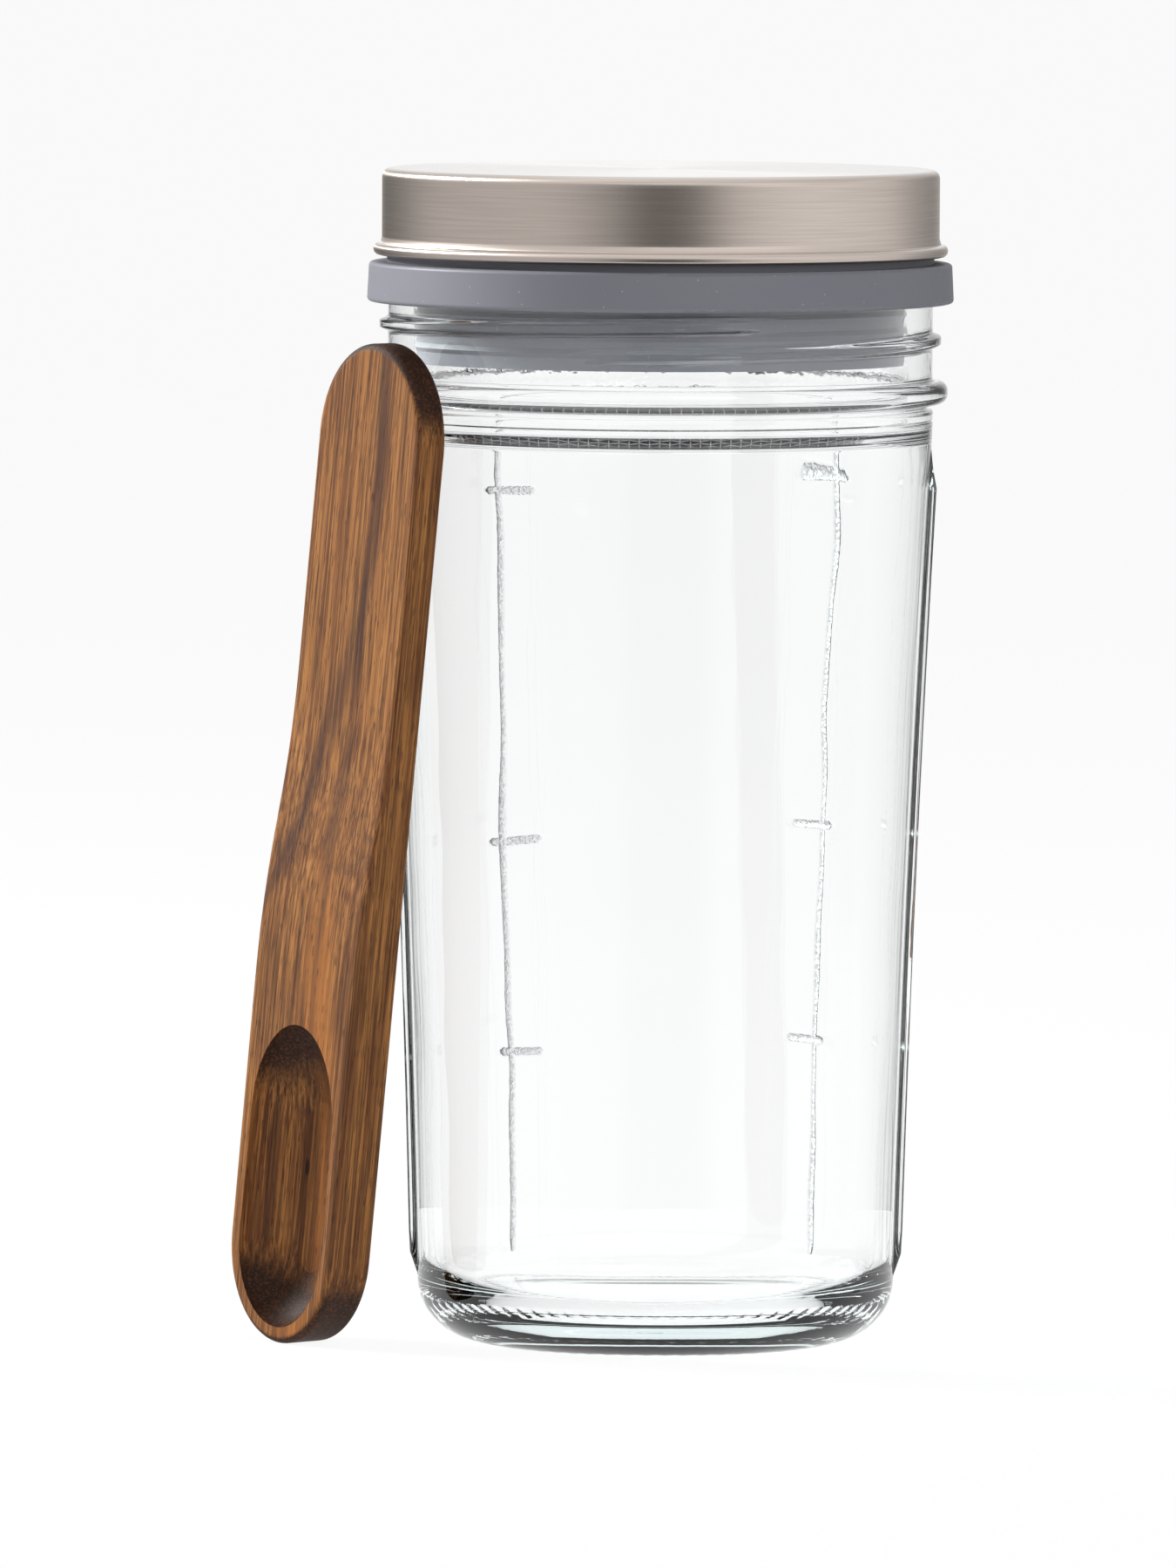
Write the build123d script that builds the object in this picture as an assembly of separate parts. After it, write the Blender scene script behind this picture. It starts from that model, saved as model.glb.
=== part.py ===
from build123d import *

import os
from math import cos, degrees, hypot, pi, radians, sin, sqrt, tan

# Kefir fermentation jar: a pressed glass jar, a silicone strainer ring that plugs its neck, a
# drawn steel cap over the ring, and an acacia measuring spoon that leans on the jar.
# Millimetres and degrees. The origin is the middle of the bearing ring, +Z is up, and the front is
# towards -Y. Azimuths turn anticlockwise from +X, seen from above.

# Glass jar, heights from the rim down to the base
RIM_HEIGHT = 186.5
BEAD_DROP = 18.2
BEAD_HEIGHT = 4.0
GROOVE_WIDTH = 1.0
SHOULDER_HEIGHT = 2.4
INNER_SHOULDER_LAG = 3.2
INNER_SHOULDER_RISE = 1.5
CREASE_WIDTH = 0.7
FLOOR_THICKNESS = 4.0
PUNT_DEPTH = 3.0

# Glass jar, radii from the neck outwards and down
NECK_RADIUS = 48.2
NECK_WALL = 4.4
BEAD_OVERHANG = 2.7
GROOVE_INSET = 0.9
SHOULDER_STEP = 0.1
CREASE_DEPTH = 0.2
WALL_TAPER = 6.05
WALL_BOW = 0.6
WALL = 3.0
HEEL_RADIUS = 10.7
INNER_CORNER = 8.0
RING_LAND = 1.95

SHOULDER_ROUND = 0.6
GROOVE_ROUND = 0.2
BEAD_ROUND = 1.7
NECK_ROUND = 0.5
RIM_ROUND = 1.0

# Flutes that cross the bearing ring from near its inner edge and run out on the heel
KNURL_COUNT = 64
KNURL_RADIUS = 0.8
KNURL_DEPTH = 0.35
KNURL_INSET = 0.4
KNURL_RUNOUT = 3.0

# Screw thread on the neck, right-handed
THREAD_PITCH = 5.08
THREAD_DEPTH = 1.5
THREAD_BASE = 2.9
THREAD_CREST = 1.2
THREAD_START = 250.0
THREAD_SWEEP = 406.0
THREAD_BAND_GAP = 0.87
THREAD_TIP = 0.02

# Two ribs that run up the sides
RIB_HEIGHT = 1.4
RIB_ANGLE = 7.0
RIB_ROUND = 0.7
RIB_HEEL_GAP = 3.0
RIB_CREASE_GAP = 5.8
RIB_TOP_RUNOUT = 5.8
RIB_FOOT_RUNOUT = 1.6

# Raised scales on the back: two upright lines with three ticks each. The volumes, in millilitres,
# are worked back from where the ticks stand and from the assumed wall.
SCALE_HALF_ANGLE = 42.4
SCALE_TURN = -2.3
SCALE_HEEL_GAP = 0.5
SCALE_CREASE_GAP = 1.0
MARK_WIDTH = 1.25
MARK_HEIGHT = 0.35
TICK_INSIDE_ANGLE = 9.5
TICK_OUTSIDE_ANGLE = 2.6
LEFT_VOLUMES = (200.0, 400.0, 765.0)
RIGHT_VOLUMES = (214.0, 418.0, 782.0)

# How deep raised glass is rooted in the wall that carries it
GLASS_ROOT = 0.6

# Silicone strainer ring, seated on the rim
BAND_WALL = 3.4
BAND_DRAFT = 0.35
BAND_SKIRT = 2.5
SKIRT_CLEARANCE = 0.3
FLANGE_THICKNESS = 4.5
PLUG_LENGTH = 13.0
PLUG_GAP = 0.7
PLUG_WALL = 2.9
LIP_CLEARANCE = 0.1
LIP_HEIGHT = 1.6
PLUG_LIP_COUNT = 3
COLLAR_GAP = 0.4
COLLAR_WALL = 3.4
COLLAR_LIP_COUNT = 2
FUNNEL_DROP = 3.0
BAND_ROUND = 0.7
COLLAR_ROUND = 1.0

# Strainer mesh in a folded steel rim, held in a groove of the plug
MESH_THICKNESS = 0.5
MESH_RIM_WIDTH = 2.4
MESH_RIM_SHEET = 0.4
MESH_GROOVE_DEPTH = 1.2
MESH_GROOVE_RISE = 1.5
MESH_FIT = 0.03

# Steel cap, seated on the collar of the ring
LID_INSET = 2.25
LID_SHEET = 0.5
LID_CORNER = 1.5
LID_BAND_GAP = 1.2
LID_HEIGHT = 15.3
CURL_RADIUS = 1.0
CURL_GAP_START = 100.0
CURL_GAP_END = 140.0

# Acacia spoon: lengths along it from its foot, thickness from its flat back
SPOON_LENGTH = 179.0
SPOON_WIDTH = 28.8
SPOON_FOOT_ROUND = 17.0
SPOON_TIP_ROUND = 17.4
SPOON_EDGE = 1.3
SCOOP_THICKNESS = 9.6
SCOOP_FLOOR = 2.4
HANDLE_THICKNESS = 6.1
SCOOP_RIM = 2.9
SCOOP_END = 57.3
SCOOP_FOOT_ROUND = 14.5
SCOOP_TIP_ROUND = 18.0
STEP_SCOOP_GAP = 4.7
STEP_LENGTH = 60.0

# The scoop's wall: shares of its depth, and how far the wall has come in there, as shares of the
# hollow's half width. The wall slopes more at the foot, and most towards the handle.
SCOOP_LEVELS = ((0.0, 0.0), (0.45, 0.10), (0.8, 0.34), (1.0, 0.62))
SCOOP_FOOT_SLOPE = 1.3
SCOOP_TIP_SLOPE = 2.0

# How the spoon leans: it faces left of the front, tilts to its right, and touches the jar
SPOON_YAW = 50.0
SPOON_TILT = 7.9
SPOON_TOUCH_OFFSET = 9.9
SPOON_GAP = 0.3

# Fineness of the fill volume's sum, and the share of a length that tells a long edge from others
VOLUME_SLICES = 60
VOLUME_HALVINGS = 40
NEARLY_ALL = 0.9

# Heights that follow
floor_z = PUNT_DEPTH + FLOOR_THICKNESS
bead_z = RIM_HEIGHT - BEAD_DROP
shoulder_z = bead_z - BEAD_HEIGHT / 2 - GROOVE_WIDTH
crease_z = shoulder_z - SHOULDER_HEIGHT
inner_shoulder_z = shoulder_z - INNER_SHOULDER_LAG
band_top_z = RIM_HEIGHT + FLANGE_THICKNESS
band_low_z = RIM_HEIGHT - BAND_SKIRT
plug_low_z = RIM_HEIGHT - PLUG_LENGTH
groove_low_z = plug_low_z + MESH_GROOVE_RISE
mesh_rim_height = MESH_THICKNESS + 2 * MESH_RIM_SHEET
lid_low_z = band_top_z + LID_BAND_GAP
lid_top_z = lid_low_z + LID_HEIGHT
collar_top_z = lid_top_z - LID_SHEET

# Radii that follow
bore_radius = NECK_RADIUS - NECK_WALL
bead_radius = NECK_RADIUS + BEAD_OVERHANG
wall_top_radius = NECK_RADIUS + SHOULDER_STEP
wall_foot_radius = wall_top_radius - WALL_TAPER
ring_outer = wall_foot_radius - HEEL_RADIUS
ring_inner = ring_outer - RING_LAND
skirt_radius = NECK_RADIUS + SKIRT_CLEARANCE
band_low_radius = skirt_radius + BAND_WALL
band_top_radius = band_low_radius - BAND_DRAFT
plug_radius = bore_radius - PLUG_GAP
well_radius = plug_radius - PLUG_WALL
mesh_rim_radius = well_radius + MESH_GROOVE_DEPTH - MESH_FIT
lid_radius = band_top_radius - LID_INSET
lid_bore = lid_radius - LID_SHEET
collar_radius = lid_bore - COLLAR_GAP


def at(radius, z):
    """A point of a section that is drawn in the XZ plane."""
    return (radius, 0, z)


def wall_radius(z):
    """Outer radius of the side wall, which bows in a little between the heel and the crease."""
    share = (z - HEEL_RADIUS) / (crease_z - HEEL_RADIUS)
    straight = wall_foot_radius + share * WALL_TAPER
    return straight - 4 * WALL_BOW * share * (1 - share)


def wall_curve(z_low, z_high, offset=0.0):
    """The side wall's line from z_low to z_high, moved out by offset."""
    z_middle = (z_low + z_high) / 2
    ends = (wall_radius(z_low) + wall_radius(z_high)) / 2
    pull = 2 * wall_radius(z_middle) - ends
    return Bezier(
        at(wall_radius(z_low) + offset, z_low),
        at(pull + offset, z_middle),
        at(wall_radius(z_high) + offset, z_high),
    )


def turned(section, start=0.0, sweep=360.0):
    """Revolve an XZ section about the jar's axis, from one azimuth through an angle."""
    solid = revolve(section, Axis.Z, sweep)
    return Rot(0, 0, start) * solid


def fill_height(millilitres):
    """Height of the liquid's surface at a volume, from the inside of the side wall."""
    low = floor_z
    high = crease_z
    floor_radius = wall_radius(HEEL_RADIUS) - WALL
    corner_loss = (2 - pi / 2) * pi * floor_radius * INNER_CORNER**2 / 2
    for _ in range(VOLUME_HALVINGS):
        middle = (low + high) / 2
        rise = (middle - floor_z) / VOLUME_SLICES
        volume = -corner_loss
        for index in range(VOLUME_SLICES):
            height = max(floor_z + rise * (index + 0.5), HEEL_RADIUS)
            volume += pi * (wall_radius(height) - WALL) ** 2 * rise
        if volume < millilitres * 1000:
            low = middle
        else:
            high = middle
    return low


def jar_blank():
    """The turned part of the jar: base, side wall, shoulder, transfer bead, neck and rim."""
    inner_top_z = inner_shoulder_z - INNER_SHOULDER_RISE
    inner_foot_z = floor_z + INNER_CORNER
    inner_foot_radius = wall_radius(inner_foot_z) - WALL
    groove_radius = NECK_RADIUS - GROOVE_INSET
    bead_low = bead_z - BEAD_HEIGHT / 2
    bead_high = bead_z + BEAD_HEIGHT / 2
    neck_line = FilletPolyline(
        at(wall_top_radius, crease_z),
        at(wall_top_radius - CREASE_DEPTH, crease_z + CREASE_WIDTH / 2),
        at(wall_top_radius, crease_z + CREASE_WIDTH),
        at(wall_top_radius, shoulder_z),
        at(groove_radius, shoulder_z),
        at(groove_radius, bead_low),
        at(bead_radius, bead_low),
        at(bead_radius, bead_high),
        at(NECK_RADIUS, bead_high),
        at(NECK_RADIUS, RIM_HEIGHT),
        at(bore_radius, RIM_HEIGHT),
        at(bore_radius, inner_shoulder_z),
        at(wall_radius(inner_top_z) - WALL, inner_top_z),
        radius=[
            0,
            0,
            SHOULDER_ROUND,
            GROOVE_ROUND,
            GROOVE_ROUND,
            BEAD_ROUND,
            BEAD_ROUND,
            NECK_ROUND,
            RIM_ROUND,
            RIM_ROUND,
            RIM_ROUND,
        ],
    )
    corner_start = at(inner_foot_radius, inner_foot_z)
    corner_end = at(inner_foot_radius - INNER_CORNER, floor_z)
    lines = [
        TangentArc(at(0, PUNT_DEPTH), at(ring_inner, 0), tangent=(1, 0, 0)),
        Line(at(ring_inner, 0), at(ring_outer, 0)),
        TangentArc(at(ring_outer, 0), at(wall_foot_radius, HEEL_RADIUS), tangent=(1, 0, 0)),
        wall_curve(HEEL_RADIUS, crease_z),
        neck_line,
        wall_curve(inner_foot_z, inner_top_z, -WALL),
        TangentArc(corner_start, corner_end, tangent=(0, 0, -1)),
        Line(corner_end, at(0, floor_z)),
        Line(at(0, floor_z), at(0, PUNT_DEPTH)),
    ]
    return turned(make_face(lines))


def knurl_cuts():
    """Shallow radial flutes in the bearing ring, which leave one notched face to stand on."""
    length = RING_LAND - KNURL_INSET + KNURL_RUNOUT
    flute = Cylinder(KNURL_RADIUS, length, rotation=(0, 90, 0))
    middle = ring_inner + KNURL_INSET + length / 2
    place = Pos(middle, 0, KNURL_DEPTH - KNURL_RADIUS)
    step = 360 / KNURL_COUNT
    return [Rot(0, 0, index * step) * place * flute for index in range(KNURL_COUNT)]


def thread():
    """The ridge of the screw thread, which fades into the neck at both ends."""
    rise = THREAD_PITCH * THREAD_SWEEP / 360
    start_z = band_low_z - THREAD_BAND_GAP - THREAD_BASE / 2 - rise
    path = Helix(THREAD_PITCH, rise, NECK_RADIUS)
    section_plane = Plane(origin=path @ 0, x_dir=(1, 0, 0), z_dir=path % 0)
    flank = (THREAD_BASE - THREAD_CREST) / 2 / THREAD_DEPTH
    root_half = THREAD_BASE / 2 + GLASS_ROOT * flank
    outline = Polyline(
        (-GLASS_ROOT, -root_half),
        (THREAD_DEPTH, -THREAD_CREST / 2),
        (THREAD_DEPTH, THREAD_CREST / 2),
        (-GLASS_ROOT, root_half),
        close=True,
    )
    section = section_plane * make_face(outline)
    solid = sweep(section, path=path, is_frenet=True)
    solid = Pos(0, 0, start_z) * Rot(0, 0, THREAD_START) * solid
    # A flat cut along the neck's tangent at each end lets the ridge rise slowly out of the neck
    half_space = Box(
        NECK_RADIUS, NECK_RADIUS, THREAD_PITCH, align=(Align.MIN, Align.MIN, Align.CENTER)
    )
    tangent_x = NECK_RADIUS + THREAD_TIP
    overrun = THREAD_BASE / 2
    start_cut = Rot(0, 0, THREAD_START) * Pos(tangent_x, -overrun, start_z) * half_space
    end_place = Rot(0, 0, THREAD_START + THREAD_SWEEP) * Pos(tangent_x, overrun, start_z + rise)
    end_cut = end_place * Rot(180, 0, 0) * half_space
    return solid - start_cut - end_cut


def side_rib(azimuth):
    """One upright rib, with a long run-out at its top and a short one at its foot."""
    low_z = HEEL_RADIUS + RIB_HEEL_GAP
    top_z = crease_z - RIB_CREASE_GAP
    full_low = low_z + RIB_FOOT_RUNOUT
    full_high = top_z - RIB_TOP_RUNOUT
    lines = [
        wall_curve(full_low, full_high, RIB_HEIGHT),
        Line(at(wall_radius(full_high) + RIB_HEIGHT, full_high), at(wall_radius(top_z), top_z)),
        Line(at(wall_radius(top_z), top_z), at(wall_radius(top_z) - GLASS_ROOT, top_z)),
        wall_curve(low_z, top_z, -GLASS_ROOT),
        Line(at(wall_radius(low_z) - GLASS_ROOT, low_z), at(wall_radius(low_z), low_z)),
        Line(at(wall_radius(low_z), low_z), at(wall_radius(full_low) + RIB_HEIGHT, full_low)),
    ]
    rib = turned(make_face(lines), -RIB_ANGLE / 2, RIB_ANGLE)
    long_length = (full_high - full_low) * NEARLY_ALL
    long_edges = [edge for edge in rib.edges() if edge.length > long_length]
    outer_edges = sorted(long_edges, key=lambda edge: hypot((edge @ 0.5).X, (edge @ 0.5).Y))[-2:]
    return Rot(0, 0, azimuth) * fillet(outer_edges, RIB_ROUND)


def scale_marks():
    """Both raised scales: an upright line each, and a tick at each volume."""
    low_z = HEEL_RADIUS + SCALE_HEEL_GAP
    high_z = crease_z - SCALE_CREASE_GAP
    low_radius = wall_radius(low_z)
    high_radius = wall_radius(high_z)
    lines = [
        wall_curve(low_z, high_z, MARK_HEIGHT),
        Line(at(high_radius + MARK_HEIGHT, high_z), at(high_radius - GLASS_ROOT, high_z)),
        wall_curve(low_z, high_z, -GLASS_ROOT),
        Line(at(low_radius - GLASS_ROOT, low_z), at(low_radius + MARK_HEIGHT, low_z)),
    ]
    upright = make_face(lines)
    line_angle = degrees(MARK_WIDTH / wall_top_radius)
    marks = []
    for side, volumes in ((1, LEFT_VOLUMES), (-1, RIGHT_VOLUMES)):
        azimuth = 90 + SCALE_TURN + side * SCALE_HALF_ANGLE
        marks.append(turned(upright, azimuth - line_angle / 2, line_angle))
        inner = azimuth - side * TICK_INSIDE_ANGLE
        outer = azimuth + side * TICK_OUTSIDE_ANGLE
        for volume in volumes:
            z = fill_height(volume)
            middle = wall_radius(z) + (MARK_HEIGHT - GLASS_ROOT) / 2
            depth = MARK_HEIGHT + GLASS_ROOT
            section = Plane.XZ * Pos(middle, z) * Rectangle(depth, MARK_WIDTH)
            marks.append(turned(section, min(inner, outer), abs(outer - inner)))
    return marks


def make_jar():
    jar = jar_blank() - knurl_cuts()
    return jar + thread() + side_rib(0) + side_rib(180) + scale_marks()


def lips(radius, tip, z_low, z_high, count):
    """Points, from the lowest up, of evenly spaced sealing lips on an upright wall."""
    spacing = (z_high - z_low) / (count + 1)
    points = []
    for index in range(count):
        z = z_low + spacing * (index + 1)
        points.append(at(radius, z - LIP_HEIGHT / 2))
        points.append(at(tip, z))
        points.append(at(radius, z + LIP_HEIGHT / 2))
    return points


def make_ring():
    """The silicone ring: plug with lips, skirt and flange, collar with lips, well and groove."""
    groove_high_z = groove_low_z + mesh_rim_height
    groove_radius = well_radius + MESH_GROOVE_DEPTH
    collar_inner = collar_radius - COLLAR_WALL
    plug_lip_tip = bore_radius - LIP_CLEARANCE
    plug_lip_high = RIM_HEIGHT - RIM_ROUND
    plug_lips = lips(plug_radius, plug_lip_tip, plug_low_z, plug_lip_high, PLUG_LIP_COUNT)
    collar_lip_tip = lid_bore - LIP_CLEARANCE
    collar_lip_high = collar_top_z - LID_CORNER
    collar_lips = lips(collar_radius, collar_lip_tip, lid_low_z, collar_lip_high, COLLAR_LIP_COUNT)
    lower = [at(well_radius, plug_low_z), at(plug_radius, plug_low_z)]
    seat = [
        at(plug_radius, RIM_HEIGHT),
        at(skirt_radius, RIM_HEIGHT),
        at(skirt_radius, band_low_z),
    ]
    band = [at(band_low_radius, band_low_z), at(band_top_radius, band_top_z)]
    collar_foot = [at(collar_radius, band_top_z)]
    collar_top = [at(collar_radius, collar_top_z), at(collar_inner, collar_top_z)]
    well = [
        at(collar_inner, band_top_z),
        at(well_radius, band_top_z - FUNNEL_DROP),
        at(well_radius, groove_high_z),
        at(groove_radius, groove_high_z),
        at(groove_radius, groove_low_z),
        at(well_radius, groove_low_z),
    ]
    stretches = [
        (lower + plug_lips + seat, 0),
        (band, BAND_ROUND),
        (collar_foot + collar_lips, 0),
        (collar_top, COLLAR_ROUND),
        (well, 0),
    ]
    points = []
    radii = []
    for stretch, corner in stretches:
        points += stretch
        radii += [corner] * len(stretch)
    return turned(make_face(FilletPolyline(*points, radius=radii, close=True)))


def make_mesh():
    """The disc of woven wire, as a plain sheet."""
    radius = mesh_rim_radius - MESH_RIM_SHEET
    z = groove_low_z + MESH_RIM_SHEET
    return Pos(0, 0, z) * Cylinder(
        radius, MESH_THICKNESS, align=(Align.CENTER, Align.CENTER, Align.MIN)
    )


def make_mesh_rim():
    """A channel that opens inwards and grips the edge of the mesh."""
    inner = mesh_rim_radius - MESH_RIM_WIDTH
    high_z = groove_low_z + mesh_rim_height
    slot_low = groove_low_z + MESH_RIM_SHEET
    slot_high = high_z - MESH_RIM_SHEET
    web = mesh_rim_radius - MESH_RIM_SHEET
    outline = Polyline(
        at(inner, groove_low_z),
        at(mesh_rim_radius, groove_low_z),
        at(mesh_rim_radius, high_z),
        at(inner, high_z),
        at(inner, slot_high),
        at(web, slot_high),
        at(web, slot_low),
        at(inner, slot_low),
        close=True,
    )
    return turned(make_face(outline))


def make_lid():
    """A drawn cap: flat top, tight corner, straight skirt and an outward curl."""
    curl_z = lid_low_z + CURL_RADIUS
    curl_middle = lid_bore + CURL_RADIUS
    corner_z = lid_top_z - LID_CORNER
    corner_radius = lid_radius - LID_CORNER
    curl = Circle(CURL_RADIUS) - Circle(CURL_RADIUS - LID_SHEET)
    reach = 2 * CURL_RADIUS
    gap_start = radians(CURL_GAP_START)
    gap_end = radians(CURL_GAP_END)
    wedge = make_face(
        Polyline(
            (0, 0),
            (reach * cos(gap_start), reach * sin(gap_start)),
            (reach * cos(gap_end), reach * sin(gap_end)),
            close=True,
        )
    )
    curl = Pos(curl_middle, curl_z) * (curl - wedge)
    skirt = Pos((lid_bore + lid_radius) / 2, (curl_z + corner_z) / 2) * Rectangle(
        LID_SHEET, corner_z - curl_z
    )
    bend = Circle(LID_CORNER) - Circle(LID_CORNER - LID_SHEET)
    quadrant = Pos(LID_CORNER / 2, LID_CORNER / 2) * Rectangle(LID_CORNER, LID_CORNER)
    bend = Pos(corner_radius, corner_z) * (bend & quadrant)
    crown = Pos(corner_radius / 2, lid_top_z - LID_SHEET / 2) * Rectangle(corner_radius, LID_SHEET)
    section = Plane.XZ * (curl + skirt + bend + crown)
    return turned(section)


def long_oval(width, low, high, foot_round, tip_round):
    """An oval with straight sides, from low to high along Y, with a half ellipse at each end."""
    straight = high - low - foot_round - tip_round
    middle = low + foot_round + straight / 2
    oval = Pos(0, low + foot_round) * Ellipse(width / 2, foot_round)
    oval += Pos(0, middle) * Rectangle(width, straight)
    oval += Pos(0, high - tip_round) * Ellipse(width / 2, tip_round)
    return oval


def scoop_cut():
    """The hollow of the scoop, with an open mouth above the spoon's front face."""
    half = SPOON_WIDTH / 2 - SCOOP_RIM
    depth = SCOOP_THICKNESS - SCOOP_FLOOR
    sections = []
    for depth_share, inset_share in SCOOP_LEVELS:
        inset = inset_share * half
        oval = long_oval(
            2 * (half - inset),
            SCOOP_RIM + inset * SCOOP_FOOT_SLOPE,
            SCOOP_END - inset * SCOOP_TIP_SLOPE,
            SCOOP_FOOT_ROUND - inset,
            SCOOP_TIP_ROUND - inset,
        )
        sections.append(Pos(0, 0, SCOOP_THICKNESS - depth_share * depth) * oval)
    hollow = loft([section.face() for section in sections])
    mouth = extrude(sections[0], SPOON_EDGE)
    return hollow + mouth


def is_rim(edge):
    """True for an edge that runs round the back or the front face, not across the spoon."""
    ends = (edge @ 0, edge @ 1)
    wide = abs(ends[0].X - ends[1].X) > SPOON_WIDTH * NEARLY_ALL
    upright = abs(ends[0].Z - ends[1].Z) > HANDLE_THICKNESS * NEARLY_ALL
    return not (wide and edge.geom_type == GeomType.LINE) and not upright


def spoon_blank():
    """The spoon laid flat: its back on XY, its foot at the origin and its length along Y."""
    body = extrude(
        long_oval(SPOON_WIDTH, 0, SPOON_LENGTH, SPOON_FOOT_ROUND, SPOON_TIP_ROUND),
        SCOOP_THICKNESS,
    )
    step_start = SCOOP_END + STEP_SCOOP_GAP
    step_end = step_start + STEP_LENGTH
    step_middle = (step_start + step_end) / 2
    past_tip = SPOON_LENGTH + SPOON_EDGE
    over_face = SCOOP_THICKNESS + SPOON_EDGE
    lines = [
        Bezier(
            (0, step_start, SCOOP_THICKNESS),
            (0, step_middle, SCOOP_THICKNESS),
            (0, step_middle, HANDLE_THICKNESS),
            (0, step_end, HANDLE_THICKNESS),
        ),
        Line((0, step_end, HANDLE_THICKNESS), (0, past_tip, HANDLE_THICKNESS)),
        Line((0, past_tip, HANDLE_THICKNESS), (0, past_tip, over_face)),
        Line((0, past_tip, over_face), (0, step_start, over_face)),
        Line((0, step_start, over_face), (0, step_start, SCOOP_THICKNESS)),
    ]
    relief = extrude(make_face(lines), SPOON_WIDTH, both=True)
    blank = body - relief
    blank = fillet(blank.edges().filter_by(is_rim), SPOON_EDGE)
    return blank - scoop_cut()


def lean_place(reach):
    """Height and radius of the widest part of the jar that stands no higher than reach."""
    if reach > band_low_z and band_low_radius > bead_radius:
        return band_low_z, band_low_radius
    if reach > bead_z:
        return bead_z, bead_radius
    z = min(reach, crease_z)
    return z, wall_radius(z)


def make_spoon():
    """Stand the spoon up, tilt it and set its back against the widest place that it reaches."""
    yaw = radians(SPOON_YAW)
    tilt = radians(SPOON_TILT)
    facing = Vector(-sin(yaw), -cos(yaw), 0)
    along = Vector(cos(yaw), -sin(yaw), 0)
    across = Vector(cos(yaw) * cos(tilt), -sin(yaw) * cos(tilt), -sin(tilt))
    # Where the jar touches, beside the middle line, the rounded tip ends lower than at the middle
    tip_fall = SPOON_TIP_ROUND * (1 - sqrt(1 - (2 * SPOON_TOUCH_OFFSET / SPOON_WIDTH) ** 2))
    touch_z, touch_radius = lean_place((SPOON_LENGTH - tip_fall) * cos(tilt))
    foot_shift = SPOON_TOUCH_OFFSET + touch_z * tan(tilt)
    foot = facing * (touch_radius + SPOON_GAP) - along * foot_shift
    spoon = Plane(origin=foot, x_dir=across, z_dir=facing) * spoon_blank()
    return Pos(0, 0, -spoon.bounding_box().min.Z) * spoon


os.makedirs("parts", exist_ok=True)
makers = {
    "glass_jar": make_jar,
    "silicone_strainer_ring": make_ring,
    "strainer_mesh": make_mesh,
    "mesh_rim": make_mesh_rim,
    "lid_shell": make_lid,
    "measuring_spoon": make_spoon,
}
for name, maker in makers.items():
    piece = maker()
    export_step(piece, f"parts/{name}.step")
    box = piece.bounding_box()
    print(f"{name}: {piece.volume / 1000:.2f} ml, z {box.min.Z:.2f} to {box.max.Z:.2f}")
print("ticks", [round(fill_height(volume), 2) for volume in LEFT_VOLUMES + RIGHT_VOLUMES])
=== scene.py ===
# %% [markdown]
# A pressed glass jar for kefir, with a silicone strainer ring in its neck, a brushed steel cap and
# an acacia scoop that leans on it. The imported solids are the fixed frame: each piece here is made
# in the same place and size, and only adds what a solid can't hold well, such as soft moulded
# edges, woven wire and grain. Sizes are in millimetres and turned to metres in one place.

from math import cos, exp, pi, radians, sin, tan

import bpy
from mathutils import Matrix, Vector


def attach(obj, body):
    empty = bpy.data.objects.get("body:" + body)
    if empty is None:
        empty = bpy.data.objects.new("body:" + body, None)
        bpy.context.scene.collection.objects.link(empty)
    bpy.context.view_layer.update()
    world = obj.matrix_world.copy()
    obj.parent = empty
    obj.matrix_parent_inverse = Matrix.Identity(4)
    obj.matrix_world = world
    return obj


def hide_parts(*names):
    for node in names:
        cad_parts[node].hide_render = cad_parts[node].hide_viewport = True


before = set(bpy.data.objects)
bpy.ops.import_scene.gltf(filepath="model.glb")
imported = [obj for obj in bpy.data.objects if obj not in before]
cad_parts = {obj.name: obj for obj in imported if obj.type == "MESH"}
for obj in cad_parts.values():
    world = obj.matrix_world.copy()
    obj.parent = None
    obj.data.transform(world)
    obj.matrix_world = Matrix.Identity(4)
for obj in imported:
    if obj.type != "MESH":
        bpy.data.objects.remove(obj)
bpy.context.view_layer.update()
MM = 0.001

# %% [markdown]
# Every tree of nodes below, for shape or for colour, is written with one helper. It adds a node,
# sets its options, and fills its inputs with either a number or another node's output.

# %% Helpers for nodes and colours
def add(tree, kind, inputs=None, **settings):
    """Add a node. An input that is given a socket is linked, and any other value is set."""
    made = tree.nodes.new(kind)
    for name, value in settings.items():
        setattr(made, name, value)
    for key, value in (inputs or {}).items():
        if isinstance(value, bpy.types.NodeSocket):
            tree.links.new(value, made.inputs[key])
        else:
            made.inputs[key].default_value = value
    return made


def colour(hex_code):
    """An sRGB colour such as #8a5a34 as linear red, green, blue and alpha."""
    parts = [int(hex_code[start:start + 2], 16) / 255 for start in (1, 3, 5)]
    linear = [part / 12.92 if part <= 0.04045 else ((part + 0.055) / 1.055) ** 2.4 for part in parts]
    return (*linear, 1.0)


def new_material(name):
    """An empty material, with its tree and its output node."""
    material = bpy.data.materials.new(name)
    material.use_nodes = True
    material.node_tree.nodes.clear()
    return material, material.node_tree, add(material.node_tree, "ShaderNodeOutputMaterial")


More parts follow.
